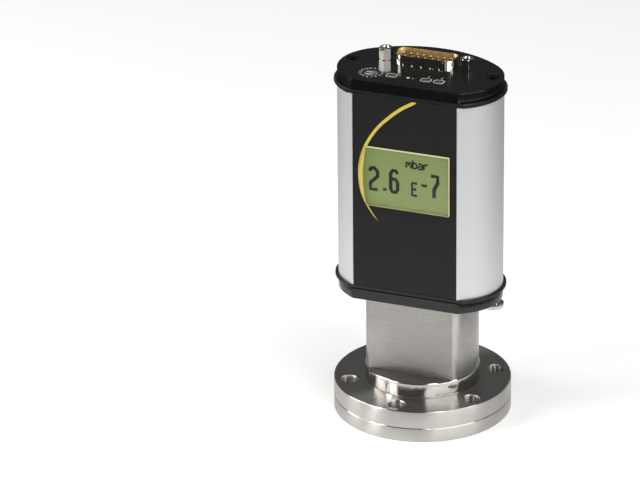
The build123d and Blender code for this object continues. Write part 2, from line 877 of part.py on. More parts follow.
def window_outline(back_y, grow=0.0):
    """The window's D shape: straight right side, arched left side."""
    with BuildSketch(Plane.XZ.offset(-back_y)) as outline:
        with Locations((window_left + window_arc_radius, window_middle)):
            Circle(window_arc_radius)
        with Locations((window_right, window_middle)):
            Rectangle(
                2 * (window_right - window_left),
                window_height,
                align=(Align.MAX, Align.CENTER),
                mode=Mode.INTERSECT,
            )
        if grow:
            offset(amount=grow, kind=Kind.INTERSECTION)
    return outline.sketch


# Label: printed film in the recess, cut out round the window
with BuildPart() as front_label:
    with BuildSketch(Plane.XZ.offset(-label_back_y)):
        with Locations((0, extrusion_bottom + extrusion_length / 2)):
            Rectangle(2 * (label_half_width - slip_clearance), extrusion_length)
        add(window_outline(0, slip_clearance), mode=Mode.SUBTRACT)
    extrude(amount=label_thickness)
save("front_label", front_label.part)

# Display window: a raised clear pane with a foot behind the label
with BuildPart() as display_window:
    with BuildSketch(Plane.XZ.offset(-wall_inside_y)):
        with Locations((window_centre_x, window_middle)):
            Rectangle(window_foot_width, window_foot_height)
    extrude(amount=wall_inside_y - label_back_y)
    extrude(window_outline(label_back_y), amount=label_thickness + window_proud)
save("display_window", display_window.part)

# Display glass, its backlight and the board behind them
with BuildPart() as lcd_glass:
    with BuildSketch(Plane.XZ.offset(-lcd_back_y)):
        with Locations((0, window_middle)):
            Rectangle(display_board_width - lcd_margin, window_height + 2 * lcd_margin)
    extrude(amount=lcd_glass_thickness)
save("lcd_glass", lcd_glass.part)

with BuildPart() as backlight:
    with BuildSketch(Plane.XZ.offset(-display_board_front_y)):
        with Locations((0, window_middle)):
            Rectangle(display_board_width - lcd_margin, window_height + 2 * lcd_margin)
    extrude(amount=backlight_thickness)
save("backlight", backlight.part)

spacer_hole = small_screw_diameter / 2 + slip_clearance
with BuildPart() as display_board:
    with BuildSketch(Plane.XZ.offset(-display_board_back_y)):
        with Locations((0, window_middle)):
            Rectangle(display_board_width, display_board_height)
            with spacer_grid():
                Circle(spacer_hole, mode=Mode.SUBTRACT)
    extrude(amount=board_thickness)
save("display_board", display_board.part)

spacer_length = main_board_front_y - display_board_back_y
with BuildPart() as board_spacers:
    with BuildSketch(Plane.XZ.offset(-main_board_front_y)):
        with Locations((0, window_middle)):
            with spacer_grid():
                RegularPolygon(spacer_width / 2, 6, major_radius=False)
                Circle(small_screw_diameter / 2 + press_clearance, mode=Mode.SUBTRACT)
    extrude(amount=spacer_length)
save("board_spacers", board_spacers.part)

spacer_screw = screw(
    small_screw_diameter,
    small_screw_length,
    small_screw_head,
    spacer_screw_head_height,
    small_screw_drive,
)
with BuildPart() as spacer_screws:
    with Locations(Plane.XZ.offset(-display_board_front_y)):
        with Locations((0, window_middle)):
            with spacer_grid():
                add(spacer_screw)
    with Locations(Plane((0, main_board_back_y, 0), x_dir=(-1, 0, 0), z_dir=(0, 1, 0))):
        with Locations((0, window_middle)):
            with spacer_grid():
                add(spacer_screw)
save("spacer_screws", spacer_screws.part)

# Main board in the extrusion's slots
main_board_bottom = extrusion_bottom + main_board_bottom_gap
main_board_top = interface_board_bottom - main_board_top_gap
main_board_middle = (main_board_bottom + main_board_top) / 2
with BuildPart() as main_board:
    with BuildSketch(Plane.XZ.offset(-main_board_back_y)):
        with Locations((0, main_board_middle)):
            Rectangle(main_board_width, main_board_top - main_board_bottom)
        with Locations((0, window_middle)):
            with spacer_grid():
                Circle(spacer_hole, mode=Mode.SUBTRACT)
    extrude(amount=board_thickness)
save("main_board", main_board.part)

with BuildPart() as board_headers:
    with BuildSketch(Plane.XY.offset(interface_board_bottom)):
        with Locations((0, main_board_front_y - header_width / 2)):
            with GridLocations(2 * board_header_x, 0, 2, 1):
                Rectangle(header_length, header_width)
    extrude(amount=-main_board_top_gap - header_overlap)
save("board_headers", board_headers.part)

with BuildPart() as hv_module:
    with BuildSketch(Plane.XZ.offset(-main_board_back_y)):
        with Locations((0, main_board_bottom + hv_module_height / 2 + header_width)):
            Rectangle(hv_module_width, hv_module_height)
    extrude(amount=-hv_module_depth)
    chamfer(hv_module.faces().sort_by(Axis.Y)[-1].edges(), length=hv_module_chamfer)
save("hv_module", hv_module.part)

processor_z = main_board_bottom + hv_module_height + processor_width
with BuildPart() as processor:
    with BuildSketch(Plane.XZ.offset(-main_board_back_y)):
        with Locations((0, processor_z)):
            Rectangle(processor_width, processor_width)
    extrude(amount=-processor_height)
save("processor", processor.part)

with BuildPart() as capacitors:
    with BuildSketch(Plane.XZ.offset(-main_board_back_y)):
        with Locations((0, main_board_top - capacitor_pitch)):
            with GridLocations(capacitor_pitch, 0, 3, 1):
                Circle(capacitor_diameter / 2)
    extrude(amount=-capacitor_height)
save("capacitors", capacitors.part)

display_header_z = window_middle - display_board_height / 2 + header_width
with BuildPart() as display_header:
    with BuildSketch(Plane.XZ.offset(-main_board_front_y)):
        with Locations((0, display_header_z)):
            Rectangle(display_header_length, header_width)
    extrude(amount=spacer_length)
save("display_header", display_header.part)

# Top plate with the connector's cut-out and holes for the controls
jackscrew_places = [
    (-jackscrew_spacing / 2, connector_y),
    (jackscrew_spacing / 2, connector_y),
]
jackscrew_hole = jackscrew_stud / 2 + slip_clearance
with BuildPart() as top_plate:
    extrude(housing_outline(top_plate_bottom), amount=cap_height)
    chamfer(top_plate.faces().sort_by(Axis.Z)[-1].edges(), length=top_edge_chamfer)
    extrude(
        housing_outline(top_plate_bottom, -cap_wall),
        amount=cap_height - cap_floor,
        mode=Mode.SUBTRACT,
    )
    with BuildSketch(Plane.XY.offset(top_plate_bottom)):
        with Locations(*boss_places):
            Circle(cap_boss_diameter / 2)
    extrude(amount=cap_height)
    extrude(shell_outline(panel, -slip_clearance), amount=-cap_floor, mode=Mode.SUBTRACT)
    with BuildSketch(Plane.XY.offset(panel)):
        with Locations(*jackscrew_places):
            Circle(jackscrew_hole)
        with Locations((rotary_x, panel_row_y)):
            Circle(rotor_diameter / 2 + rotor_gap)
        with Locations((status_lamp_x, panel_row_y)):
            Circle(status_lamp_diameter / 2 + press_clearance)
        with Locations((ready_lamp_x, panel_row_y)):
            Circle(ready_lamp_diameter / 2 + press_clearance)
        for key_x in key_positions.values():
            with Locations((key_x, panel_row_y)):
                RectangleRounded(
                    key_width + 2 * key_clearance,
                    key_depth + 2 * key_clearance,
                    key_round + key_clearance,
                )
    extrude(amount=-cap_floor, mode=Mode.SUBTRACT)
    with Locations(Plane.XY.offset(panel)):
        with Locations(*boss_places):
            CounterSinkHole(
                cap_screw_diameter / 2 + slip_clearance,
                cap_screw_head / 2 + sink_depth,
                cap_height,
                90,
            )
save("top_plate", top_plate.part)

cap_screw = countersunk_screw(
    cap_screw_diameter, cap_screw_length, cap_screw_head, cap_screw_drive
)
with BuildPart() as top_plate_screws:
    with Locations(Plane.XY.offset(panel - sink_depth)):
        with Locations(*boss_places):
            add(cap_screw)
save("top_plate_screws", top_plate_screws.part)

with BuildPart() as bottom_cap_screw:
    with Locations(Plane((-boss_x, 0, cap_bottom + sink_depth), z_dir=(0, 0, -1))):
        add(cap_screw)
save("bottom_cap_screw", bottom_cap_screw.part)

# Knurled earth screw in the other boss
earth_head_bottom = cap_bottom - earth_head_gap - earth_head_height
with BuildPart() as earth_screw:
    with BuildSketch(Plane((earth_screw_x, 0, earth_head_bottom))):
        Circle(earth_head_diameter / 2)
        with PolarLocations(earth_head_diameter / 2, earth_knurl_count):
            Circle(earth_knurl_depth, mode=Mode.SUBTRACT)
    extrude(amount=earth_head_height)
    with BuildSketch(Plane((earth_screw_x, 0, earth_head_bottom))):
        Circle(earth_shank_diameter / 2)
    extrude(amount=earth_head_height + earth_head_gap + earth_screw_length - slip_clearance)
    with BuildSketch(Plane((earth_screw_x, 0, earth_head_bottom))):
        RegularPolygon(earth_drive / 2, 6, major_radius=False)
    extrude(amount=earth_head_height / 2, mode=Mode.SUBTRACT)
save("earth_screw", earth_screw.part)

# Interface board, clear of the screw bosses
pin_places = []
for pin_count, row_side in ((8, 1), (7, -1)):
    for pin in range(pin_count):
        pin_x = (pin - (pin_count - 1) / 2) * pin_pitch
        pin_places.append((pin_x, connector_y + row_side * pin_row_gap / 2))

with BuildPart() as interface_board:
    with BuildSketch(Plane.XY.offset(interface_board_top)):
        add(housing_outline(0, -interface_board_margin))
        Rectangle(
            2 * interface_board_half_width,
            4 * housing_half_depth,
            mode=Mode.INTERSECT,
        )
        with Locations(*pin_places):
            Circle(pin_diameter / 2 + press_clearance, mode=Mode.SUBTRACT)
    extrude(amount=-board_thickness)
save("interface_board", interface_board.part)

# Connector shell: a drawn sheet-metal D with earthing dimples on its front
shell_front_y = connector_y - shell_depth / 2
shell_top = panel_underside + shell_height
with BuildPart() as connector_shell:
    with BuildSketch(Plane.XY.offset(connector_flange_bottom)):
        with Locations((0, connector_y)):
            RectangleRounded(
                connector_flange_width, connector_flange_depth, connector_flange_round
            )
        with Locations(*jackscrew_places):
            Circle(jackscrew_hole, mode=Mode.SUBTRACT)
    extrude(amount=connector_flange_thickness)
    extrude(shell_outline(panel_underside), amount=shell_height)
    extrude(
        shell_outline(connector_flange_bottom, shell_wall),
        amount=connector_flange_thickness + shell_height,
        mode=Mode.SUBTRACT,
    )
    with Locations(Plane.XZ.offset(-shell_front_y)):
        with Locations((0, panel + dimple_rise)):
            with GridLocations(dimple_pitch, 0, dimple_count, 1):
                Cylinder(dimple_diameter / 2, 2 * dimple_depth, mode=Mode.SUBTRACT)
save("connector_shell", connector_shell.part)

# Insulator that fills the shell's base, and the pins pressed into it
with BuildPart() as connector_body:
    extrude(
        shell_outline(connector_flange_bottom, shell_wall + press_clearance),
        amount=connector_flange_thickness + connector_body_rise,
    )
    with BuildSketch(Plane.XY.offset(connector_flange_bottom)):
        with Locations((0, connector_y)):
            Rectangle(connector_body_width, connector_body_depth)
    extrude(amount=-connector_body_drop)
    with BuildSketch(Plane.XY.offset(panel)):
        with Locations(*pin_places):
            Circle(pin_diameter / 2 + press_clearance)
    extrude(amount=-cap_height - shell_height, mode=Mode.SUBTRACT)
save("connector_body", connector_body.part)

pin_bottom = interface_board_bottom - pin_tail
with BuildPart() as connector_pins:
    with BuildSketch(Plane.XY.offset(pin_bottom)):
        with Locations(*pin_places):
            Circle(pin_diameter / 2)
    extrude(amount=panel_underside + connector_body_rise + pin_rise - pin_bottom)
    chamfer(connector_pins.edges().group_by(Axis.Z)[-1], length=pin_tip_chamfer)
save("connector_pins", connector_pins.part)

# Hexagonal jackscrews, their nuts below the connector's flange
hex_corner_radius = jackscrew_flats / sqrt(3)
crown_chamfer = hex_corner_radius - jackscrew_flats / 2
with BuildPart() as jackscrews:
    with BuildSketch(Plane.XY.offset(panel)):
        for place, turn in zip(jackscrew_places, (left_jackscrew_turn, right_jackscrew_turn)):
            with Locations(place):
                RegularPolygon(jackscrew_flats / 2, 6, major_radius=False, rotation=turn)
    extrude(amount=jackscrew_height)
    with BuildPart(mode=Mode.INTERSECT):
        with BuildSketch(Plane.XY.offset(panel)):
            with Locations(*jackscrew_places):
                Circle(hex_corner_radius)
        extrude(amount=jackscrew_height)
        chamfer(edges().group_by(Axis.Z)[-1], length=crown_chamfer)
        chamfer(edges().group_by(Axis.Z)[0], length=crown_chamfer)
    with BuildSketch(Plane.XY.offset(panel)):
        with Locations(*jackscrew_places):
            Circle(jackscrew_stud / 2)
    extrude(amount=-cap_floor - connector_flange_thickness - jackscrew_nut_height)
    with BuildSketch(Plane.XY.offset(panel + jackscrew_height)):
        with Locations(*jackscrew_places):
            Circle(jackscrew_bore / 2)
    extrude(amount=-jackscrew_bore_depth, mode=Mode.SUBTRACT)
save("jackscrews", jackscrews.part)

with BuildPart() as jackscrew_nuts:
    with BuildSketch(Plane.XY.offset(connector_flange_bottom)):
        with Locations(*jackscrew_places):
            RegularPolygon(jackscrew_flats / 2, 6, major_radius=False)
            Circle(jackscrew_stud / 2 + press_clearance, mode=Mode.SUBTRACT)
    extrude(amount=-jackscrew_nut_height)
save("jackscrew_nuts", jackscrew_nuts.part)

# Rotary address switch: its body on the board, its rotor in the plate's hole
rotary_top = interface_board_top + rotary_body_height
rotor_top = panel - sink_depth
with BuildPart() as rotary_switch_body:
    with BuildSketch(Plane.XY.offset(interface_board_top)):
        with Locations((rotary_x, panel_row_y)):
            Rectangle(rotary_body_width, rotary_body_width)
    extrude(amount=rotary_body_height)
    chamfer(rotary_switch_body.edges().filter_by(Axis.Z), length=rotary_body_chamfer)
    with BuildSketch(Plane.XY.offset(rotary_top)):
        with Locations((rotary_x, panel_row_y)):
            Circle(rotor_shaft_diameter / 2 + running_clearance)
    extrude(amount=rotary_floor - rotary_body_height, mode=Mode.SUBTRACT)
save("rotary_switch_body", rotary_switch_body.part)

with BuildPart() as rotary_switch_rotor:
    with BuildSketch(Plane((rotary_x, panel_row_y, rotor_top))):
        Circle(rotor_diameter / 2)
    extrude(amount=-rotor_height)
    chamfer(rotary_switch_rotor.edges().group_by(Axis.Z)[-1], length=rotor_chamfer)
    with BuildSketch(Plane((rotary_x, panel_row_y, rotor_top))):
        Rectangle(rotor_diameter - 2 * rotor_slot_margin, rotor_slot_width)
        with Locations((rotor_diameter / 2 - rotor_arrow_margin, 0)):
            RegularPolygon(rotor_slot_width, 3)
    extrude(amount=-rotor_slot_depth, mode=Mode.SUBTRACT)
    with BuildSketch(Plane((rotary_x, panel_row_y, rotor_top - rotor_height))):
        Circle(rotor_shaft_diameter / 2)
    shaft_foot = interface_board_top + rotary_floor + running_clearance
    extrude(amount=shaft_foot - rotor_top + rotor_height)
save("rotary_switch_rotor", rotary_switch_rotor.part)

# Key switches on the board and the keys that press them
tact_top = interface_board_top + tact_height
key_top = panel - sink_depth
stem_foot = key_top - key_height - key_stem_length
with BuildPart() as tact_switches:
    with BuildSketch(Plane.XY.offset(interface_board_top)):
        for key_x in key_positions.values():
            with Locations((key_x, panel_row_y)):
                Rectangle(tact_width, tact_width)
    extrude(amount=tact_height)
    with BuildSketch(Plane.XY.offset(tact_top)):
        for key_x in key_positions.values():
            with Locations((key_x, panel_row_y)):
                Circle(key_stem_diameter / 2 + slip_clearance)
    extrude(amount=stem_foot - key_travel - tact_rest_gap - tact_top, mode=Mode.SUBTRACT)
save("tact_switches", tact_switches.part)

for key_name, key_x in key_positions.items():
    with BuildPart() as key:
        with BuildSketch(Plane((key_x, panel_row_y, key_top))):
            RectangleRounded(key_width, key_depth, key_round)
        extrude(amount=-key_height)
        fillet(key.faces().sort_by(Axis.Z)[-1].edges(), radius=key_edge_round)
        with BuildSketch(Plane((key_x, panel_row_y, key_top - key_height))):
            Circle(key_stem_diameter / 2)
        extrude(amount=-key_stem_length)
    save(key_name, key.part)

# Signal lamps: light pipes that stand on the board and end in the plate
for lamp_name, lamp_x, lamp_diameter in (
    ("status_lamp", status_lamp_x, status_lamp_diameter),
    ("ready_lamp", ready_lamp_x, ready_lamp_diameter),
):
    with BuildPart() as lamp:
        with BuildSketch(Plane((lamp_x, panel_row_y, interface_board_top))):
            Circle(lamp_diameter / 2)
        extrude(amount=panel - interface_board_top - sink_depth / 2)
        fillet(lamp.edges().group_by(Axis.Z)[-1], radius=lamp_edge_round)
        with BuildSketch(Plane((lamp_x, panel_row_y, interface_board_top))):
            Rectangle(lamp_base_width, lamp_base_width)
        extrude(amount=lamp_base_width)
    save(lamp_name, lamp.part)
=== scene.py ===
import json
from math import cos, pi, radians, sin, sqrt, tau

import bmesh
import bpy
from mathutils import Matrix, Vector

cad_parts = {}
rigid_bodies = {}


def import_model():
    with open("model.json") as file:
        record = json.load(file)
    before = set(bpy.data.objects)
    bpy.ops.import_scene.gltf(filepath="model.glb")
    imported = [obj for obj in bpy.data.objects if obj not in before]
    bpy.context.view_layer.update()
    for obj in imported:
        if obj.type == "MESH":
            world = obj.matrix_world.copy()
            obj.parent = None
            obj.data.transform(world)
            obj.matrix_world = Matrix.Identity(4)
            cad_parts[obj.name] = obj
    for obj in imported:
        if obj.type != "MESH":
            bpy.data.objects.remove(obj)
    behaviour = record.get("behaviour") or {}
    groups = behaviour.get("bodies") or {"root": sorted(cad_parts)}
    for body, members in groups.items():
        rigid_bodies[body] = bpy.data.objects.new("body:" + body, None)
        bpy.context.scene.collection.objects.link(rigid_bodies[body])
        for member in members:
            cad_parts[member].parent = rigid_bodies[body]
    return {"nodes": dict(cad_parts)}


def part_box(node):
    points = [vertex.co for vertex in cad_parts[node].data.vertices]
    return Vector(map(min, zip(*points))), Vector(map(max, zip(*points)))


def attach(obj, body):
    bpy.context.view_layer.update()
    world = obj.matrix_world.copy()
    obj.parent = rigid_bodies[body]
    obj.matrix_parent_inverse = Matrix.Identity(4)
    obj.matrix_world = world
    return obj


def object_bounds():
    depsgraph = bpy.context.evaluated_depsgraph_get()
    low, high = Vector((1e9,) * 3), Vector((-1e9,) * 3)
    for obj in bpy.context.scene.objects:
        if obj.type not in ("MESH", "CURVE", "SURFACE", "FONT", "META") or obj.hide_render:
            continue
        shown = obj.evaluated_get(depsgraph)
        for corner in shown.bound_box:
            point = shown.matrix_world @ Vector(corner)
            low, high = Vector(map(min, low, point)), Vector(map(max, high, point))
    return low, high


# Vacuum sensor: a flanged stainless body that carries an aluminium housing
# with a display, a plug connector and its controls on top. Everything is in
# metres; sizes that are easier to read in millimetres are multiplied by mm.
mm = 0.001

for leftover in list(bpy.data.objects):
    bpy.data.objects.remove(leftover)
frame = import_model()
cad_low, cad_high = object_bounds()


def linear(code):
    """An sRGB hex colour as linear red, green, blue and alpha."""
    channels = []
    for start in (1, 3, 5):
        value = int(code[start:start + 2], 16) / 255
        if value <= 0.04045:
            channels.append(value / 12.92)
        else:
            channels.append(((value + 0.055) / 1.055) ** 2.4)
    return (*channels, 1.0)


def cells(size_mm):
    """Texture scale that gives pattern cells of this size on object coordinates."""
    return 1 / (size_mm * mm)


def add(owner, kind, inputs=None, **settings):
    """Adds a shader node. Inputs are values or other nodes' sockets, by name or number."""
    node = owner.node_tree.nodes.new("ShaderNode" + kind)
    for name, value in settings.items():
        setattr(node, name, value)
    for name, value in (inputs or {}).items():
        if isinstance(value, bpy.types.NodeSocket):
            owner.node_tree.links.new(value, node.inputs[name])
        else:
            node.inputs[name].default_value = value
    return node


def start_material(name, **constants):
    """A new material and its Principled shader, with the sockets that stay constant."""
    material = bpy.data.materials.new(name)
    material.use_nodes = True
    shader = material.node_tree.nodes["Principled BSDF"]
    for socket, value in constants.items():
        shader.inputs[socket.replace("_", " ")].default_value = value
    return material, shader


def colour_ramp(owner, factor, stops, interpolation="LINEAR"):
    """A colour ramp over a factor; stops are (position, linear colour)."""
    ramp = add(owner, "ValToRGB", {"Fac": factor})
    ramp.color_ramp.interpolation = interpolation
    elements = ramp.color_ramp.elements
    while len(elements) > 1:
        elements.remove(elements[-1])
    elements[0].position, elements[0].color = stops[0]
    for position, colour in stops[1:]:
        elements.new(position).color = colour
    return ramp.outputs["Color"]


def connect(material, shader, **sockets):
    """Links worked-out colours, roughness or normals to the shader."""
    for socket, value in sockets.items():
        material.node_tree.links.new(value, shader.inputs[socket.replace("_", " ")])


def grain(material, size_mm, stretch=(1, 1, 1), detail=3.0):
    """Noise over the object's own coordinates, with cells of a real size."""
    place = add(material, "TexCoord").outputs["Object"]
    mapped = add(material, "Mapping", {"Vector": place, "Scale": stretch})
    return add(
        material,
        "TexNoise",
        {"Vector": mapped.outputs["Vector"], "Scale": cells(size_mm), "Detail": detail},
    ).outputs["Fac"]


def spread(material, factor, low, high):
    """Noise turned into a value between low and high."""
    return add(
        material,
        "MapRange",
        {"Value": factor, "From Min": 0.3, "From Max": 0.7, "To Min": low, "To Max": high},
    ).outputs["Result"]


def bump(material, height, depth_mm):
    """Relief of a real depth."""
    inputs = {"Height": height, "Strength": 1.0, "Distance": depth_mm * mm}
    return add(material, "Bump", inputs).outputs["Normal"]


def turned_stainless_steel():
    """Stainless bar: a fine-turned rim, a polished flange top and collar, a ground neck.

    The polished faces mirror their surroundings; the neck only glows softly.
    """
    material, shader = start_material(
        "turned_stainless_steel", Metallic=1.0, Anisotropic=1.0, Anisotropic_Rotation=0.25
    )
    # Tool marks run round the body, so reflections smear across them
    around = add(material, "Tangent", direction_type="RADIAL", axis="Z")
    place = add(material, "TexCoord")
    height = add(material, "SeparateXYZ", {"Vector": place.outputs["Object"]}).outputs["Z"]
    facing = add(material, "SeparateXYZ", {"Vector": place.outputs["Normal"]}).outputs["Z"]
    level = add(
        material,
        "MapRange",
        {
            "Value": add(material, "Math", {0: facing}, operation="ABSOLUTE").outputs[0],
            "From Min": 0.6,
            "From Max": 0.9,
        },
    ).outputs["Result"]
    # Lathe rings on level faces, grinding lines of about 16 mm on upright ones. Both
    # are coarser than the real marks, which are too fine to show
    mark_spacing = 0.5
    line_stretch = 0.03
    flat = add(
        material, "VectorMath", {0: place.outputs["Object"], 1: (1, 1, 0)}, operation="MULTIPLY"
    ).outputs[0]
    radius = add(material, "VectorMath", {0: flat}, operation="LENGTH").outputs["Value"]
    ring_place = add(material, "CombineXYZ", {"X": radius}).outputs["Vector"]
    rings = add(
        material,
        "TexNoise",
        {"Vector": ring_place, "Scale": cells(mark_spacing), "Detail": 2.0},
    ).outputs["Fac"]
    lines = grain(material, mark_spacing, stretch=(line_stretch, line_stretch, 1), detail=1.0)
    marks = add(
        material, "Mix", {"Factor": level, 2: lines, 3: rings}, data_type="FLOAT"
    ).outputs[0]
    # Roughness by height: the rim, then the flange top with the collar, then the neck
    rim_top = 13.15 * mm
    collar_top = 19.05 * mm
    neck_top = 52.0 * mm
    turned, polished, ground = 0.26, 0.12, 0.28
    share = add(material, "Math", {0: height, 1: neck_top}, operation="DIVIDE").outputs[0]
    polish = colour_ramp(
        material,
        share,
        [
            (0.0, (turned, turned, turned, 1)),
            (rim_top / neck_top, (polished, polished, polished, 1)),
            (collar_top / neck_top, (ground, ground, ground, 1)),
        ],
        "CONSTANT",
    )
    unevenness = spread(material, marks, -0.008, 0.012)
    roughness = add(
        material, "Math", {0: polish, 1: unevenness}, operation="ADD", use_clamp=True
    ).outputs[0]
    cloud = grain(material, 9.0)
    colour = colour_ramp(
        material, cloud, [(0.3, linear("#C0BDB8")), (0.7, linear("#C9C6C2"))]
    )
    # Polishing took the marks off; the ground neck keeps the deepest
    smooth_below = 0.22
    mark_depth = 0.006
    kept = add(
        material, "Math", {0: polish, 1: smooth_below}, operation="SUBTRACT", use_clamp=True
    ).outputs[0]
    relief = add(material, "Math", {0: marks, 1: kept}, operation="MULTIPLY").outputs[0]
    connect(
        material,
        shader,
        Base_Color=colour,
        Roughness=roughness,
        Normal=bump(material, relief, mark_depth),
        Tangent=around.outputs["Tangent"],
    )
    return material


def plated_metal(name, light, dark, roughness, cloud_mm, relief_mm):
    """Machined metal with a thin plating: even gloss, faint clouding, fine tool marks."""
    material, shader = start_material(name, Metallic=1.0)
    colour = colour_ramp(
        material, grain(material, cloud_mm), [(0.3, linear(dark)), (0.7, linear(light))]
    )
    marks = grain(material, 0.3, stretch=(1, 1, 3))
    connect(
        material,
        shader,
        Base_Color=colour,
        Roughness=spread(material, marks, roughness * 0.8, roughness * 1.3),
        Normal=bump(material, marks, relief_mm),
    )
    return material


def moulded_plastic(name, light, dark, roughness, grain_mm, relief_mm):
    """Injection-moulded plastic: a soft sheen over a fine eroded grain."""
    material, shader = start_material(name, IOR=1.49)
    texture = grain(material, grain_mm)
    colour = colour_ramp(
        material, grain(material, 6.0), [(0.3, linear(dark)), (0.7, linear(light))]
    )
    connect(
        material,
        shader,
        Base_Color=colour,
        Roughness=spread(material, texture, roughness * 0.85, roughness * 1.2),
        Normal=bump(material, texture, relief_mm),
    )
    return material


def anodised_aluminium():
    """Extruded, glass-blasted and clear anodised: a pale satin with faint die lines.

    The clear oxide film scatters part of the light, so it isn't wholly metallic.
    """
    material, shader = start_material("anodised_aluminium", Metallic=0.75, IOR=1.5)
    # Real blasting leaves 0.05 mm grain; 0.35 mm is the finest that shows
    blasting = grain(material, 0.35)
    die_lines = grain(material, 0.8, stretch=(1, 1, 0.01))
    die_line_share = 0.03
    colour = colour_ramp(
        material, die_lines, [(0.3, linear("#DDDEDE")), (0.7, linear("#DFE0E0"))]
    )
    relief = add(
        material,
        "Mix",
        {"Factor": die_line_share, 2: blasting, 3: die_lines},
        data_type="FLOAT",
    ).outputs[0]
    connect(
        material,
        shader,
        Base_Color=colour,
        Roughness=spread(material, blasting, 0.5, 0.58),
        Normal=bump(material, relief, 0.008),
    )
    return material


def black_lacquer():
    """Gloss black stoving lacquer on the cast caps: it mirrors the connector."""
    material, shader = start_material("black_lacquer", IOR=1.52)
    # Orange peel of the sprayed film, about 1.5 mm from crest to crest
    peel = grain(material, 1.5, detail=1.0)
    colour = colour_ramp(
        material, grain(material, 12.0), [(0.3, linear("#070707")), (0.7, linear("#0C0C0C"))]
    )
    connect(
        material,
        shader,
        Base_Color=colour,
        Roughness=spread(material, peel, 0.10, 0.16),
        Normal=bump(material, peel, 0.003),
    )
    return material


def seal_rubber():
    """Moulded EPDM rubber: deep black, softly shining on its rounded edge."""
    material, shader = start_material("seal_rubber", IOR=1.5)
    skin = grain(material, 0.4)
    colour = colour_ramp(
        material, grain(material, 5.0), [(0.3, linear("#0B0B0B")), (0.7, linear("#121211"))]
    )
    connect(
        material,
        shader,
        Base_Color=colour,
        Roughness=spread(material, skin, 0.30, 0.42),
        Normal=bump(material, skin, 0.006),
    )
    return material


def label_film():
    """Polyester label film, printed black on its back: a matt, finely textured front."""
    material, shader = start_material("label_film", IOR=1.5, Specular_IOR_Level=0.35)
    # The film's texture is drawn at 0.3 mm, three times as coarse as the real one
    texture = grain(material, 0.3)
    colour = colour_ramp(
        material, grain(material, 15.0), [(0.3, linear("#0F0F0F")), (0.7, linear("#141414"))]
    )
    connect(
        material,
        shader,
        Base_Color=colour,
        Roughness=spread(material, texture, 0.42, 0.55),
        Normal=bump(material, texture, 0.004),
    )
    return material


def printing_ink(name, light, dark):
    """Screen-printed ink: opaque, a little uneven where the mesh left it thinner."""
    material, shader = start_material(name, IOR=1.48)
    mesh_marks = grain(material, 0.4)
    colour = colour_ramp(
        material, mesh_marks, [(0.3, linear(dark)), (0.7, linear(light))]
    )
    connect(
        material,
        shader,
        Base_Color=colour,
        Roughness=spread(material, mesh_marks, 0.4, 0.5),
        Normal=bump(material, mesh_marks, 0.002),
    )
    return material


def clear_window():
    """Clear polycarbonate pane: glassy front, milled edges; the upper and right edges are
    painted pale yellow and opaque as a highlight.
    """
    material, shader = start_material("clear_window", IOR=1.49)
    normal = add(material, "TexCoord").outputs["Normal"]
    sides = add(material, "SeparateXYZ", {"Vector": normal})
    # Painted highlight: the upper and right edges, which face the lamps, are coloured pale
    # yellow and made opaque; the others look clear
    lit = add(
        material, "Math", {0: sides.outputs["X"], 1: sides.outputs["Z"]}, operation="MAXIMUM"
    ).outputs[0]
    not_highlighted = add(
        material,
        "MapRange",
        {"Value": lit, "From Min": 0.8, "From Max": 0.5},
    ).outputs["Result"]
    milling = grain(material, 0.3, stretch=(1, 3, 1))
    painted_edge_highlight = colour_ramp(
        material, milling, [(0.3, linear("#E4DC9C")), (0.7, linear("#F4EFC0"))]
    )
    colour = add(
        material, "MixRGB", {"Fac": not_highlighted, "Color1": painted_edge_highlight, "Color2": (1, 1, 1, 1)}
    ).outputs["Color"]
    clearness = add(
        material, "Mix", {"Factor": not_highlighted, 2: 0.0, 3: 1.0}, data_type="FLOAT"
    ).outputs[0]
    gloss = add(
        material, "Mix", {"Factor": not_highlighted, 2: 0.5, 3: 0.03}, data_type="FLOAT"
    ).outputs[0]
    connect(
        material,
        shader,
        Base_Color=colour,
        Transmission_Weight=clearness,
        Roughness=gloss,
        Normal=bump(material, milling, 0.0005),
    )
    return material


def lcd_glass():
    """Lit liquid crystal display: even yellow-green, finely mottled polariser."""
    material, shader = start_material("lcd_glass", IOR=1.5, Roughness=0.35)
    mottle = grain(material, 1.2)
    colour = colour_ramp(
        material, mottle, [(0.2, linear("#84945A")), (0.8, linear("#8C9C60"))]
    )
    connect(
        material,
        shader,
        Base_Color=colour,
        Emission_Color=colour,
        Normal=bump(material, mottle, 0.002),
    )
    shader.inputs["Emission Strength"].default_value = 0.5
    return material


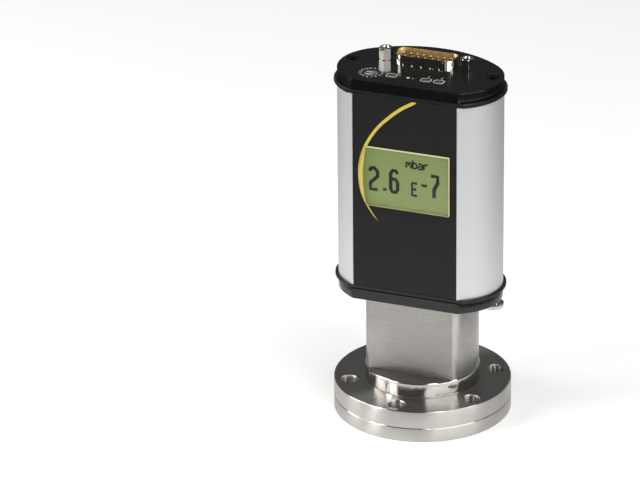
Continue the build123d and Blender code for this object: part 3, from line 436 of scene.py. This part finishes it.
def chromated_shell():
    """Drawn steel, zinc-plated and yellow chromated.

    It is bright outside, with a straw tint on the rim and inside, where the drawing
    punch left it more matt.
    """
    material, shader = start_material("chromated_shell", Metallic=1.0)
    place = add(material, "TexCoord")
    shell_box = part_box("connector_shell")
    middle = (shell_box[0] + shell_box[1]) / 2
    offset = add(
        material, "VectorMath", {0: place.outputs["Object"], 1: middle}, operation="SUBTRACT"
    ).outputs[0]
    # The inner faces point at the connector's middle, chiefly across it
    across = (0.2, 1, 0)
    facing_in = -0.0005
    rim_height = 0.12 * mm
    level = add(material, "VectorMath", {0: offset, 1: across}, operation="MULTIPLY")
    outwards = add(
        material,
        "VectorMath",
        {0: level.outputs[0], 1: place.outputs["Normal"]},
        operation="DOT_PRODUCT",
    ).outputs["Value"]
    inside = add(
        material, "Math", {0: outwards, 1: facing_in}, operation="LESS_THAN"
    ).outputs[0]
    height = add(material, "SeparateXYZ", {"Vector": place.outputs["Object"]}).outputs["Z"]
    rim = add(
        material, "Math", {0: height, 1: shell_box[1].z - rim_height}, operation="GREATER_THAN"
    ).outputs[0]
    tinted = add(material, "Math", {0: inside, 1: rim}, operation="MAXIMUM").outputs[0]
    film = grain(material, 2.2, detail=1.0)
    straw = colour_ramp(
        material,
        film,
        [
            (0.30, linear("#E4C48C")),
            (0.45, linear("#F0D8A0")),
            (0.55, linear("#E6DCAC")),
            (0.68, linear("#E6C2A0")),
        ],
    )
    colour = add(
        material, "MixRGB", {"Fac": tinted, "Color1": linear("#E6E3DA"), "Color2": straw}
    ).outputs["Color"]
    mattness = add(
        material, "Mix", {"Factor": inside, 2: 0.07, 3: 0.45}, data_type="FLOAT"
    ).outputs[0]
    connect(
        material,
        shader,
        Base_Color=colour,
        Roughness=mattness,
        Normal=bump(material, grain(material, 0.8), 0.002),
    )
    return material


def circuit_board():
    """Glass-fibre board under green solder mask, with its weave just showing."""
    material, shader = start_material("circuit_board", IOR=1.55)
    weave = grain(material, 0.5)
    colour = colour_ramp(
        material, weave, [(0.3, linear("#1D5A34")), (0.7, linear("#27683E"))]
    )
    connect(
        material,
        shader,
        Base_Color=colour,
        Roughness=spread(material, weave, 0.3, 0.4),
        Normal=bump(material, weave, 0.004),
    )
    return material


def soft_glow_plastic(name, code):
    """Clear diffusing plastic of the lamps and the backlight."""
    material, shader = start_material(name, IOR=1.49, Subsurface_Weight=0.3)
    shader.inputs["Subsurface Radius"].default_value = (0.5 * mm, 0.5 * mm, 0.5 * mm)
    cloud = grain(material, 1.0)
    colour = colour_ramp(material, cloud, [(0.2, linear(code)), (0.8, (1, 1, 1, 1))])
    connect(
        material,
        shader,
        Base_Color=colour,
        Roughness=spread(material, cloud, 0.2, 0.3),
        Normal=bump(material, cloud, 0.002),
    )
    return material


def dress_cad_nodes():
    """Gives every solid the finish of its real material."""
    steel = turned_stainless_steel()
    aluminium = anodised_aluminium()
    lacquer = black_lacquer()
    rubber = seal_rubber()
    board = circuit_board()
    # Light and dark colour, roughness, size of the clouds or grain, depth of the relief
    etched = plated_metal("etched_stainless_steel", "#D2CECA", "#BDB9B4", 0.24, 3.0, 0.004)
    spring = plated_metal("spring_steel", "#C2BFBB", "#ACA8A3", 0.3, 3.0, 0.004)
    bright_screw = plated_metal("stainless_screws", "#CFCBC6", "#B8B4AE", 0.22, 2.0, 0.004)
    black_screw = plated_metal("blackened_screws", "#2A2A2B", "#191919", 0.25, 2.0, 0.004)
    bright_nickel = plated_metal("bright_nickel", "#E2DED6", "#D3CEC5", 0.07, 2.5, 0.001)
    magnet = plated_metal("nickel_plated_magnet", "#C9C5BD", "#B5B1AA", 0.25, 4.0, 0.004)
    soft_aluminium = plated_metal("soft_aluminium", "#D8D8D8", "#C6C6C6", 0.3, 3.0, 0.005)
    gold = plated_metal("gold_plating", "#F2D894", "#E8C67C", 0.16, 1.0, 0.001)
    tungsten = plated_metal("drawn_tungsten", "#8E8C88", "#76746F", 0.35, 1.0, 0.002)
    brass = plated_metal("turned_brass", "#D8B468", "#C49E54", 0.2, 2.0, 0.004)
    insulator = moulded_plastic("connector_insulator", "#8A7450", "#755F40", 0.4, 0.4, 0.004)
    socket_black = moulded_plastic("socket_plastic", "#242424", "#1A1A1A", 0.45, 0.5, 0.005)
    potting = moulded_plastic("potting_resin", "#202022", "#151517", 0.3, 2.0, 0.01)
    chip = moulded_plastic("chip_package", "#26262A", "#1B1B1E", 0.55, 0.3, 0.006)
    switch = moulded_plastic("switch_housing", "#3A3A3A", "#2A2A2A", 0.5, 0.5, 0.006)
    key = moulded_plastic("key_caps", "#60605D", "#4E4E4B", 0.45, 0.4, 0.004)
    rotor = moulded_plastic("rotor_plastic", "#6A6A67", "#555552", 0.4, 0.4, 0.004)
    ceramic = moulded_plastic("alumina_ceramic", "#F0EDE4", "#E2DED2", 0.5, 0.4, 0.006)
    bead = moulded_plastic("sealing_glass", "#46607A", "#38506A", 0.12, 1.0, 0.002)
    lamp = soft_glow_plastic("lamp_lens", "#F2F2EC")
    guide = soft_glow_plastic("light_guide", "#EEF0E8")
    finishes = {
        "flange_body": steel,
        "baffle": etched,
        "baffle_clip": spring,
        "side_magnets": magnet,
        "seal_ring": soft_aluminium,
        "feedthrough_plate": etched,
        "plate_screws": bright_screw,
        "anode_ring": etched,
        "anode_insulator": ceramic,
        "pin_beads": bead,
        "filament_pins": gold,
        "filament": tungsten,
        "sensor_socket": socket_black,
        "sensor_board": board,
        "sensor_header": socket_black,
        "bottom_cap": lacquer,
        "neck_screws": bright_screw,
        "bottom_gasket": rubber,
        "top_gasket": rubber,
        "extrusion": aluminium,
        "front_label": label_film(),
        "display_window": clear_window(),
        "lcd_glass": lcd_glass(),
        "backlight": guide,
        "display_board": board,
        "board_spacers": brass,
        "spacer_screws": bright_screw,
        "main_board": board,
        "board_headers": socket_black,
        "hv_module": potting,
        "processor": chip,
        "capacitors": soft_aluminium,
        "display_header": socket_black,
        "top_plate": lacquer,
        "top_plate_screws": black_screw,
        "bottom_cap_screw": black_screw,
        "earth_screw": bright_nickel,
        "interface_board": board,
        "connector_shell": chromated_shell(),
        "connector_body": insulator,
        "connector_pins": gold,
        "jackscrews": bright_nickel,
        "jackscrew_nuts": bright_nickel,
        "rotary_switch_body": switch,
        "rotary_switch_rotor": rotor,
        "tact_switches": switch,
        "adjust_key": key,
        "setpoint_key_1": key,
        "setpoint_key_2": key,
        "status_lamp": lamp,
        "ready_lamp": lamp,
    }
    for name, node in frame["nodes"].items():
        for slot in node.material_slots:
            slot.material = finishes[name]


def new_piece(name, mesh, material, body="housing"):
    """Makes an object of a mesh, faces outwards, and fixes it to a body."""
    shape = bmesh.new()
    shape.from_mesh(mesh)
    bmesh.ops.remove_doubles(shape, verts=shape.verts, dist=1e-7)
    bmesh.ops.recalc_face_normals(shape, faces=shape.faces)
    shape.to_mesh(mesh)
    shape.free()
    mesh.name = name
    mesh.materials.clear()
    mesh.materials.append(material)
    piece = bpy.data.objects.new(name, mesh)
    bpy.context.scene.collection.objects.link(piece)
    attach(piece, body)
    return piece


def smooth_line(points, steps):
    """Catmull-Rom curve through given points, steps to each span."""
    ends = [points[0]] + list(points) + [points[-1]]
    line = []
    for first, second, third, fourth in zip(ends, ends[1:], ends[2:], ends[3:]):
        for step in range(steps):
            t = step / steps
            line.append(
                tuple(
                    0.5 * (2 * b + (c - a) * t + (2 * a - 5 * b + 4 * c - d) * t * t
                           + (3 * b - a - 3 * c + d) * t ** 3)
                    for a, b, c, d in zip(first, second, third, fourth)
                )
            )
    line.append(tuple(points[-1]))
    return line


def upright_film(name, outer, inner, back, thickness, material):
    """A thin printed film between two edges, each a list of (x, z) in millimetres."""
    front = back - thickness
    vertices = []
    for (outer_x, outer_z), (inner_x, inner_z) in zip(outer, inner):
        for depth in (back, front):
            vertices.append((outer_x * mm, depth, outer_z * mm))
            vertices.append((inner_x * mm, depth, inner_z * mm))
    faces = [(0, 1, 3, 2)]
    for row in range(len(outer) - 1):
        here, there = 4 * row, 4 * row + 4
        for left, right in ((0, 1), (1, 3), (3, 2), (2, 0)):
            faces.append((here + left, here + right, there + right, there + left))
    last = 4 * (len(outer) - 1)
    faces.append((last, last + 1, last + 3, last + 2))
    mesh = bpy.data.meshes.new(name)
    mesh.from_pydata(vertices, [], faces)
    return new_piece(name, mesh, material)


# Display window, as the solids have it
window_left = -18.3
window_bottom = 92.0
window_height = 24.3
window_middle = window_bottom + window_height / 2
window_arc = 25.5
ink_thickness = 0.03 * mm


def arc_x(z, leftmost, radius):
    """The left-bulging arc round the window's middle, at a height."""
    return leftmost + radius - sqrt(radius ** 2 - (z - window_middle) ** 2)


def yellow_stripe():
    """The tapered curved stripe on the label and its continuation on the pane."""
    ink = printing_ink("yellow_ink", "#D0C350", "#C4B545")
    pane_ink = printing_ink("amber_ink", "#DCC257", "#D2AE52")
    # Outer edge and width, measured on the label's front, top end first
    edge = [
        (3.0, 137.12, 1.35),
        (-1.55, 134.24, 1.32),
        (-6.32, 130.24, 1.26),
        (-11.78, 124.46, 1.18),
        (-16.28, 117.14, 1.20),
        (-18.59, 110.11, 1.35),
        (-19.10, 103.8, 1.60),
        (-18.30, 97.6, 1.25),
        (-16.00, 92.0, 0.70),
        (-12.81, 87.42, 0.36),
        (-10.95, 85.8, 0.04),
    ]
    steps = 8
    film_gap = 0.1
    top_flare = 1.5
    line = smooth_line(edge, steps)
    outer, inner = [], []
    for number, (x, z, width) in enumerate(line):
        before = line[max(number - 1, 0)]
        after = line[min(number + 1, len(line) - 1)]
        along = Vector((after[0] - before[0], after[1] - before[1])).normalized()
        inner_x = x - along.y * width
        inner_z = z + along.x * width
        if number == 0:
            inner_z = z
            inner_x = x + top_flare * width
        if abs(inner_z - window_middle) < window_height / 2:
            inner_x = min(inner_x, arc_x(inner_z, window_left, window_arc) - film_gap)
        outer.append((x, z))
        inner.append((inner_x, inner_z))
    label_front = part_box("front_label")[0].y
    upright_film("label_stripe", outer, inner, label_front, ink_thickness, ink)
    pane_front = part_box("display_window")[0].y
    flat_radius = 50.0
    flat_left = -16.75
    edge_inset, least_inset = 0.03, 0.06
    height_share = 0.985
    rows = 32
    reach = height_share * window_height / 2
    outer, inner = [], []
    for row in range(rows + 1):
        z = window_middle + reach * (1 - 2 * row / rows)
        x = arc_x(z, window_left, window_arc)
        outer.append((x + edge_inset, z))
        inner.append((max(arc_x(z, flat_left, flat_radius), x + least_inset), z))
    upright_film("window_stripe", outer, inner, pane_front, ink_thickness, pane_ink)


def ink_strokes(name, lines, width, place, material, closed=False, body="housing"):
    """Flat strokes of one width along lines of (u, v) points in millimetres."""
    curve = bpy.data.curves.new(name, "CURVE")
    curve.dimensions = "3D"
    curve.bevel_depth = width / 2 * mm
    curve.bevel_resolution = 3
    curve.use_fill_caps = True
    for points in lines:
        spline = curve.splines.new("POLY")
        spline.points.add(len(points) - 1)
        spline.use_cyclic_u = closed
        for point, (u, v) in zip(spline.points, points):
            point.co = (u * mm, v * mm, 0, 1)
    holder = bpy.data.objects.new(name + "_curve", curve)
    bpy.context.scene.collection.objects.link(holder)
    graph = bpy.context.evaluated_depsgraph_get()
    mesh = bpy.data.meshes.new_from_object(holder.evaluated_get(graph))
    bpy.data.objects.remove(holder)
    mesh.transform(Matrix.Diagonal((1, 1, ink_thickness / (width * mm), 1)))
    mesh.transform(place)
    return new_piece(name, mesh, material, body)


def upright_at(depth):
    """Turns a drawing's u and v into X and Z at one depth, facing the front."""
    return Matrix(((1, 0, 0, 0), (0, 0, -1, depth), (0, 1, 0, 0), (0, 0, 0, 1)))


def display_reading():
    """The dark segments of the reading and its unit, on the display glass."""
    ink = moulded_plastic("display_segments", "#1E2A22", "#18221C", 0.5, 0.6, 0.001)
    place = upright_at(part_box("lcd_glass")[0].y - 0.5 * ink_thickness)
    digit_width, digit_height, digit_foot = 3.3, 9.0, 98.2
    digit_stroke, exponent_stroke, unit_stroke = 1.5, 1.15, 0.75

    def digit(left, strokes, width=digit_width, height=digit_height, foot=digit_foot):
        """Scales strokes of unit digits to their place."""
        return [[(left + width * u, foot + height * v) for u, v in line] for line in strokes]

    two = [
        [(0, 0.83), (0.22, 0.98), (0.62, 1), (1, 0.85), (1, 0.62), (0.1, 0.3), (0.1, 0), (1, 0)]
    ]
    six = [
        [(1, 0.86), (0.75, 1), (0.3, 1), (0, 0.86), (0, 0.14), (0.25, 0), (0.75, 0), (1, 0.14),
         (1, 0.46), (0.72, 0.6), (0, 0.6)]
    ]
    seven = [[(0, 1), (1, 1), (1, 0.7), (0.48, 0.38), (0.48, 0)]]
    dot = [[(0, 0), (0, 0.13)]]
    big = digit(-14.7, two) + digit(-6.0, six, width=2.85) + digit(10.45, seven, width=2.8)
    big += digit(-8.45, dot)
    ink_strokes("display_digits", big, digit_stroke, place, ink)
    letter_e = [[(1, 1), (0, 1), (0, 0), (1, 0)], [(0, 0.5), (0.85, 0.5)]]
    minus = [[(0, 0), (1, 0)]]
    small = digit(2.8, letter_e, width=2.0, height=5.1, foot=98.05)
    small += digit(6.6, minus, width=2.35, foot=102.75)
    ink_strokes("display_exponent", small, exponent_stroke, place, ink)
    unit_foot, letter_height = 109.2, 2.35
    letter_width = 0.92 * letter_height
    letters = {
        "m": [[(0, 0), (0, 1)], [(0, 0.8), (0.25, 1), (0.45, 0.85), (0.45, 0.35)],
              [(0.45, 0.8), (0.7, 1), (0.92, 0.8), (0.92, 0)]],
        "b": [[(0, 1.45), (0, 0)],
              [(0, 0.8), (0.4, 1), (0.75, 0.75), (0.75, 0.25), (0.4, 0), (0, 0.1)]],
        "a": [[(0.05, 0.95), (0.5, 1), (0.75, 0.8), (0.75, 0)],
              [(0.75, 0.55), (0.2, 0.55), (0, 0.3), (0.2, 0), (0.75, 0.1)]],
        "r": [[(0, 0), (0, 1)], [(0, 0.7), (0.35, 1), (0.75, 0.95)]],
    }
    unit = []
    for left, name in ((0.4, "m"), (3.05, "b"), (5.3, "a"), (7.6, "r")):
        unit += digit(left, letters[name], letter_width, letter_height, unit_foot)
    ink_strokes("display_unit", unit, unit_stroke, place, ink)


def round_frame(centre, width, depth, corner):
    """Points of a rectangle with round corners."""
    points = []
    steps = 5
    for turn, (side_x, side_y) in enumerate(((1, 1), (-1, 1), (-1, -1), (1, -1))):
        for step in range(steps + 1):
            angle = radians(90 * (turn + step / steps))
            points.append(
                (
                    centre[0] + side_x * (width / 2 - corner) + corner * cos(angle),
                    centre[1] + side_y * (depth / 2 - corner) + corner * sin(angle),
                )
            )
    return points


def numeral_mesh(text, size, centre, height):
    """A printed numeral lying on the panel."""
    letters = bpy.data.curves.new("numeral", "FONT")
    letters.body = text
    letters.size = size * mm
    letters.align_x = "CENTER"
    letters.align_y = "CENTER"
    letters.extrude = ink_thickness / 2
    holder = bpy.data.objects.new("numeral", letters)
    bpy.context.scene.collection.objects.link(holder)
    graph = bpy.context.evaluated_depsgraph_get()
    mesh = bpy.data.meshes.new_from_object(holder.evaluated_get(graph))
    bpy.data.objects.remove(holder)
    mesh.transform(Matrix.Translation((centre[0] * mm, centre[1] * mm, height)))
    return mesh


def joined(meshes):
    """One mesh of several."""
    shape = bmesh.new()
    for mesh in meshes:
        shape.from_mesh(mesh)
    whole = bpy.data.meshes.new("joined")
    shape.to_mesh(whole)
    shape.free()
    return whole


def panel_printing():
    """White printing on the top plate: dial numerals, key outlines, key numerals."""
    ink = printing_ink("white_ink", "#D8D8D5", "#C2C2BF")
    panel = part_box("top_plate")[1].z
    rotor_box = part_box("rotary_switch_rotor")
    rotor = (rotor_box[0] + rotor_box[1]) / 2 / mm
    surface = panel + ink_thickness / 2
    # One numeral for each of the switch's sixteen places, clockwise from the top
    dial_radius, dial_size, numerals = 4.4, 1.45, 16
    ring = []
    for number in range(numerals):
        angle = radians(90 - 360 * number / numerals)
        centre = (rotor.x + dial_radius * cos(angle), rotor.y + dial_radius * sin(angle))
        ring.append(numeral_mesh(str(number), dial_size, centre, surface))
    new_piece("dial_numerals", joined(ring), ink)
    frames, names = [], []
    outline_width, outline_depth, outline_round, line_width = 3.9, 3.3, 0.9, 0.32
    numeral_size, numeral_offset = 1.9, 3.3
    for node, text in (("adjust_key", ""), ("setpoint_key_1", "1"), ("setpoint_key_2", "2")):
        low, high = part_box(node)
        key = (low + high) / 2 / mm
        frames.append(round_frame((key.x, key.y), outline_width, outline_depth, outline_round))
        if text:
            centre = (key.x, key.y + numeral_offset)
            names.append(numeral_mesh(text, numeral_size, centre, surface))
    place = Matrix.Translation((0, 0, surface))
    ink_strokes("key_outlines", frames, line_width, place, ink, True)
    new_piece("key_numerals", joined(names), ink)


def rotor_arrow():
    """White paint on the rotor's arrow head and beside its slot, so its place shows."""
    paint = printing_ink("arrow_paint", "#E8E8E4", "#D2D2CE")
    low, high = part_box("rotary_switch_rotor")
    middle = (low + high) / 2 / mm
    bar_back, bar_front, bar_side = -2.2, 0.6, 1.05
    tip_reach, tip_side = 2.55, 0.1
    stroke = 0.5
    lines = [[(bar_back, side), (bar_front, side)] for side in (-bar_side, bar_side)]
    lines.append([(tip_reach, -tip_side), (tip_reach, tip_side)])
    place = Matrix.Translation((middle.x * mm, middle.y * mm, high.z + ink_thickness / 2))
    arrow = ink_strokes("rotor_arrow", lines, stroke, place, paint, body="address_rotor")


def ease_edges():
    """Real edges are never knife-sharp: a small round makes them catch the light."""
    seam_gap = 0.001 * mm
    sharp_angle = radians(32)
    steps = 2
    rounds = {
        "connector_shell": 0.12,
        "jackscrews": 0.12,
        "top_plate": 0.15,
        "bottom_cap": 0.12,
        "earth_screw": 0.08,
        "flange_body": 0.1,
    }
    for name, size in rounds.items():
        node = frame["nodes"][name]
        weld = node.modifiers.new("join_seams", "WELD")
        weld.merge_threshold = seam_gap
        bevel = node.modifiers.new("eased_edges", "BEVEL")
        bevel.width = size * mm
        bevel.segments = steps
        bevel.limit_method = "ANGLE"
        bevel.angle_limit = sharp_angle
        bevel.harden_normals = True


def jackscrew_threads():
    """The cut thread inside both jackscrews: a helical ridge on the bore's wall."""
    steel = plated_metal("cut_thread", "#CBC6BC", "#B8B3A9", 0.16, 1.0, 0.001)
    lead_in = 0.35 * mm
    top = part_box("jackscrews")[1].z - lead_in
    pitch, wall, crest, turns = 0.635, 1.46, 1.24, 5
    segments = 24
    profile = ((wall, 0.26), (crest, 0.0), (wall, -0.26))
    spacing, connector_y = 33.32, 4.6
    vertices, faces = [], []
    for side in (-1, 1):
        start = len(vertices)
        for step in range(turns * segments + 1):
            angle = tau * step / segments
            drop = pitch * step / segments
            for radius, rise in profile:
                vertices.append(
                    (
                        (side * spacing / 2 + radius * cos(angle)) * mm,
                        (connector_y + radius * sin(angle)) * mm,
                        top - (drop + profile[0][1] - rise) * mm,
                    )
                )
        for step in range(turns * segments):
            here = start + 3 * step
            for first, second in ((0, 1), (1, 2), (2, 0)):
                faces.append((here + first, here + second, here + 3 + second, here + 3 + first))
        last = start + 3 * turns * segments
        faces += [(start, start + 1, start + 2), (last, last + 1, last + 2)]
    mesh = bpy.data.meshes.new("jackscrew_threads")
    mesh.from_pydata(vertices, [], faces)
    new_piece("jackscrew_threads", mesh, steel)


def studio_floor():
    """A pale sweep. The camera sees it as paper white with the object's shadow."""
    white_reach, dark_from = 0.13, 0.3
    camera_glow = 0.2
    material, shader = start_material("floor_paper", Roughness=0.6)
    place = add(material, "TexCoord").outputs["Object"]
    distance = add(material, "VectorMath", {0: place}, operation="LENGTH").outputs["Value"]
    far = add(
        material,
        "MapRange",
        {"Value": distance, "From Min": white_reach, "From Max": dark_from},
        interpolation_type="SMOOTHSTEP",
    ).outputs["Result"]
    path = add(material, "LightPath")
    unseen = add(
        material, "Math", {0: 1.0, 1: path.outputs["Is Camera Ray"]}, operation="SUBTRACT"
    ).outputs[0]
    painted_far_shade = add(material, "Math", {0: far, 1: unseen}, operation="MULTIPLY").outputs[0]
    # Painted shade: farther out the floor is painted dark for reflected rays only, standing for
    # the light falling off, so far reflections are darker
    colour = add(
        material,
        "MixRGB",
        {"Fac": painted_far_shade, "Color1": linear("#F4F4F3"), "Color2": linear("#2C2C2D")},
    ).outputs["Color"]
    connect(material, shader, Base_Color=colour)
    glow = add(
        material,
        "Math",
        {0: path.outputs["Is Camera Ray"], 1: camera_glow},
        operation="MULTIPLY",
    ).outputs[0]
    material.node_tree.links.new(glow, shader.inputs["Emission Strength"])
    shader.inputs["Emission Color"].default_value = (1, 1, 1, 1)
    # Seen from below the sweep isn't there, so that the underside can be looked at
    below = add(material, "NewGeometry").outputs["Backfacing"]
    clear = add(material, "BsdfTransparent").outputs["BSDF"]
    both = add(material, "MixShader", {0: below, 1: shader.outputs["BSDF"], 2: clear})
    output = material.node_tree.nodes["Material Output"]
    material.node_tree.links.new(both.outputs["Shader"], output.inputs["Surface"])
    floor_radius, floor_gap = 4.0, 0.02 * mm
    sides = 96
    mesh = bpy.data.meshes.new("floor")
    ring = [
        (floor_radius * cos(tau * side / sides), floor_radius * sin(tau * side / sides), 0)
        for side in range(sides)
    ]
    mesh.from_pydata(ring, [], [tuple(range(sides))])
    mesh.materials.append(material)
    floor = bpy.data.objects.new("floor", mesh)
    floor.location.z = cad_low.z - floor_gap
    bpy.context.scene.collection.objects.link(floor)


def softbox(name, azimuth, elevation, distance, width, height, radiance):
    """A soft rectangular lamp that looks at the object; azimuth 0 is in front."""
    target = Vector((0, 0, (cad_low.z + cad_high.z) / 2))
    turn, rise = radians(azimuth), radians(elevation)
    away = Vector((sin(turn) * cos(rise), -cos(turn) * cos(rise), sin(rise)))
    lamp = bpy.data.lights.new(name, "AREA")
    lamp.shape = "RECTANGLE"
    lamp.size = width
    lamp.size_y = height
    lamp.energy = radiance * pi * width * height
    holder = bpy.data.objects.new(name, lamp)
    holder.location = target + away * distance
    holder.rotation_mode = "QUATERNION"
    holder.rotation_quaternion = (-away).to_track_quat("-Z", "Y")
    bpy.context.scene.collection.objects.link(holder)


def studio_world():
    """Even ambient light; mirrors see a grey horizon under a dark ceiling."""
    horizon, overhead, ceiling_from = 0.35, 0.1, 0.35
    ambient = 0.38
    world = bpy.data.worlds.new("studio")
    world.use_nodes = True
    bpy.context.scene.world = world
    direction = add(world, "TexCoord").outputs["Generated"]
    rise = add(world, "SeparateXYZ", {"Vector": direction}).outputs["Z"]
    ceiling = add(
        world,
        "MapRange",
        {"Value": rise, "From Max": ceiling_from, "To Min": horizon, "To Max": overhead},
        interpolation_type="SMOOTHSTEP",
    ).outputs["Result"]
    path = add(world, "LightPath")
    mirrored = add(
        world,
        "Math",
        {0: path.outputs["Is Glossy Ray"], 1: path.outputs["Is Transmission Ray"]},
        operation="MAXIMUM",
    ).outputs[0]
    reflected = add(
        world, "Mix", {"Factor": mirrored, 2: ambient, 3: ceiling}, data_type="FLOAT"
    ).outputs[0]
    strength = add(
        world,
        "Mix",
        {"Factor": path.outputs["Is Camera Ray"], 2: reflected, 3: 1.0},
        data_type="FLOAT",
    ).outputs[0]
    background = world.node_tree.nodes["Background"]
    background.inputs["Color"].default_value = (1, 1, 1, 1)
    world.node_tree.links.new(strength, background.inputs["Strength"])


def camera():
    """The photograph's view: a long lens, from the front right and above."""
    azimuth, elevation, roll = radians(21.71), radians(24.17), radians(-0.574)
    place = (0.60083, -1.61722, 0.84525)
    lens_mm = 272.4
    back = Vector(
        (sin(azimuth) * cos(elevation), -cos(azimuth) * cos(elevation), sin(elevation))
    )
    right = Vector((cos(azimuth), sin(azimuth), 0))
    up = back.cross(right)
    level_right = right * cos(roll) + up * sin(roll)
    level_up = up * cos(roll) - right * sin(roll)
    data = bpy.data.cameras.new("camera")
    data.sensor_width = 36.0
    data.lens = lens_mm
    data.clip_start = 0.05
    data.clip_end = 20.0
    holder = bpy.data.objects.new("camera", data)
    bpy.context.scene.collection.objects.link(holder)
    turned = Matrix((level_right, level_up, back)).transposed().to_4x4()
    holder.matrix_world = Matrix.Translation(place) @ turned
    bpy.context.scene.camera = holder


dress_cad_nodes()
yellow_stripe()
display_reading()
panel_printing()
rotor_arrow()
jackscrew_threads()
ease_edges()

studio_floor()
studio_world()
# Wide key light on the right, two narrow strips on the left, a small lamp for edges
softbox("key_light", 62, 27, distance=1.0, width=1.2, height=0.8, radiance=3.0)
softbox("left_strip", -76, 27, distance=1.0, width=0.32, height=0.8, radiance=5.0)
softbox("front_strip", -45, 27, distance=1.0, width=0.22, height=0.8, radiance=8.5)
softbox("edge_light", 55, 66, distance=1.2, width=0.25, height=0.2, radiance=8.0)
camera()
bpy.context.scene.view_settings.view_transform = "Standard"
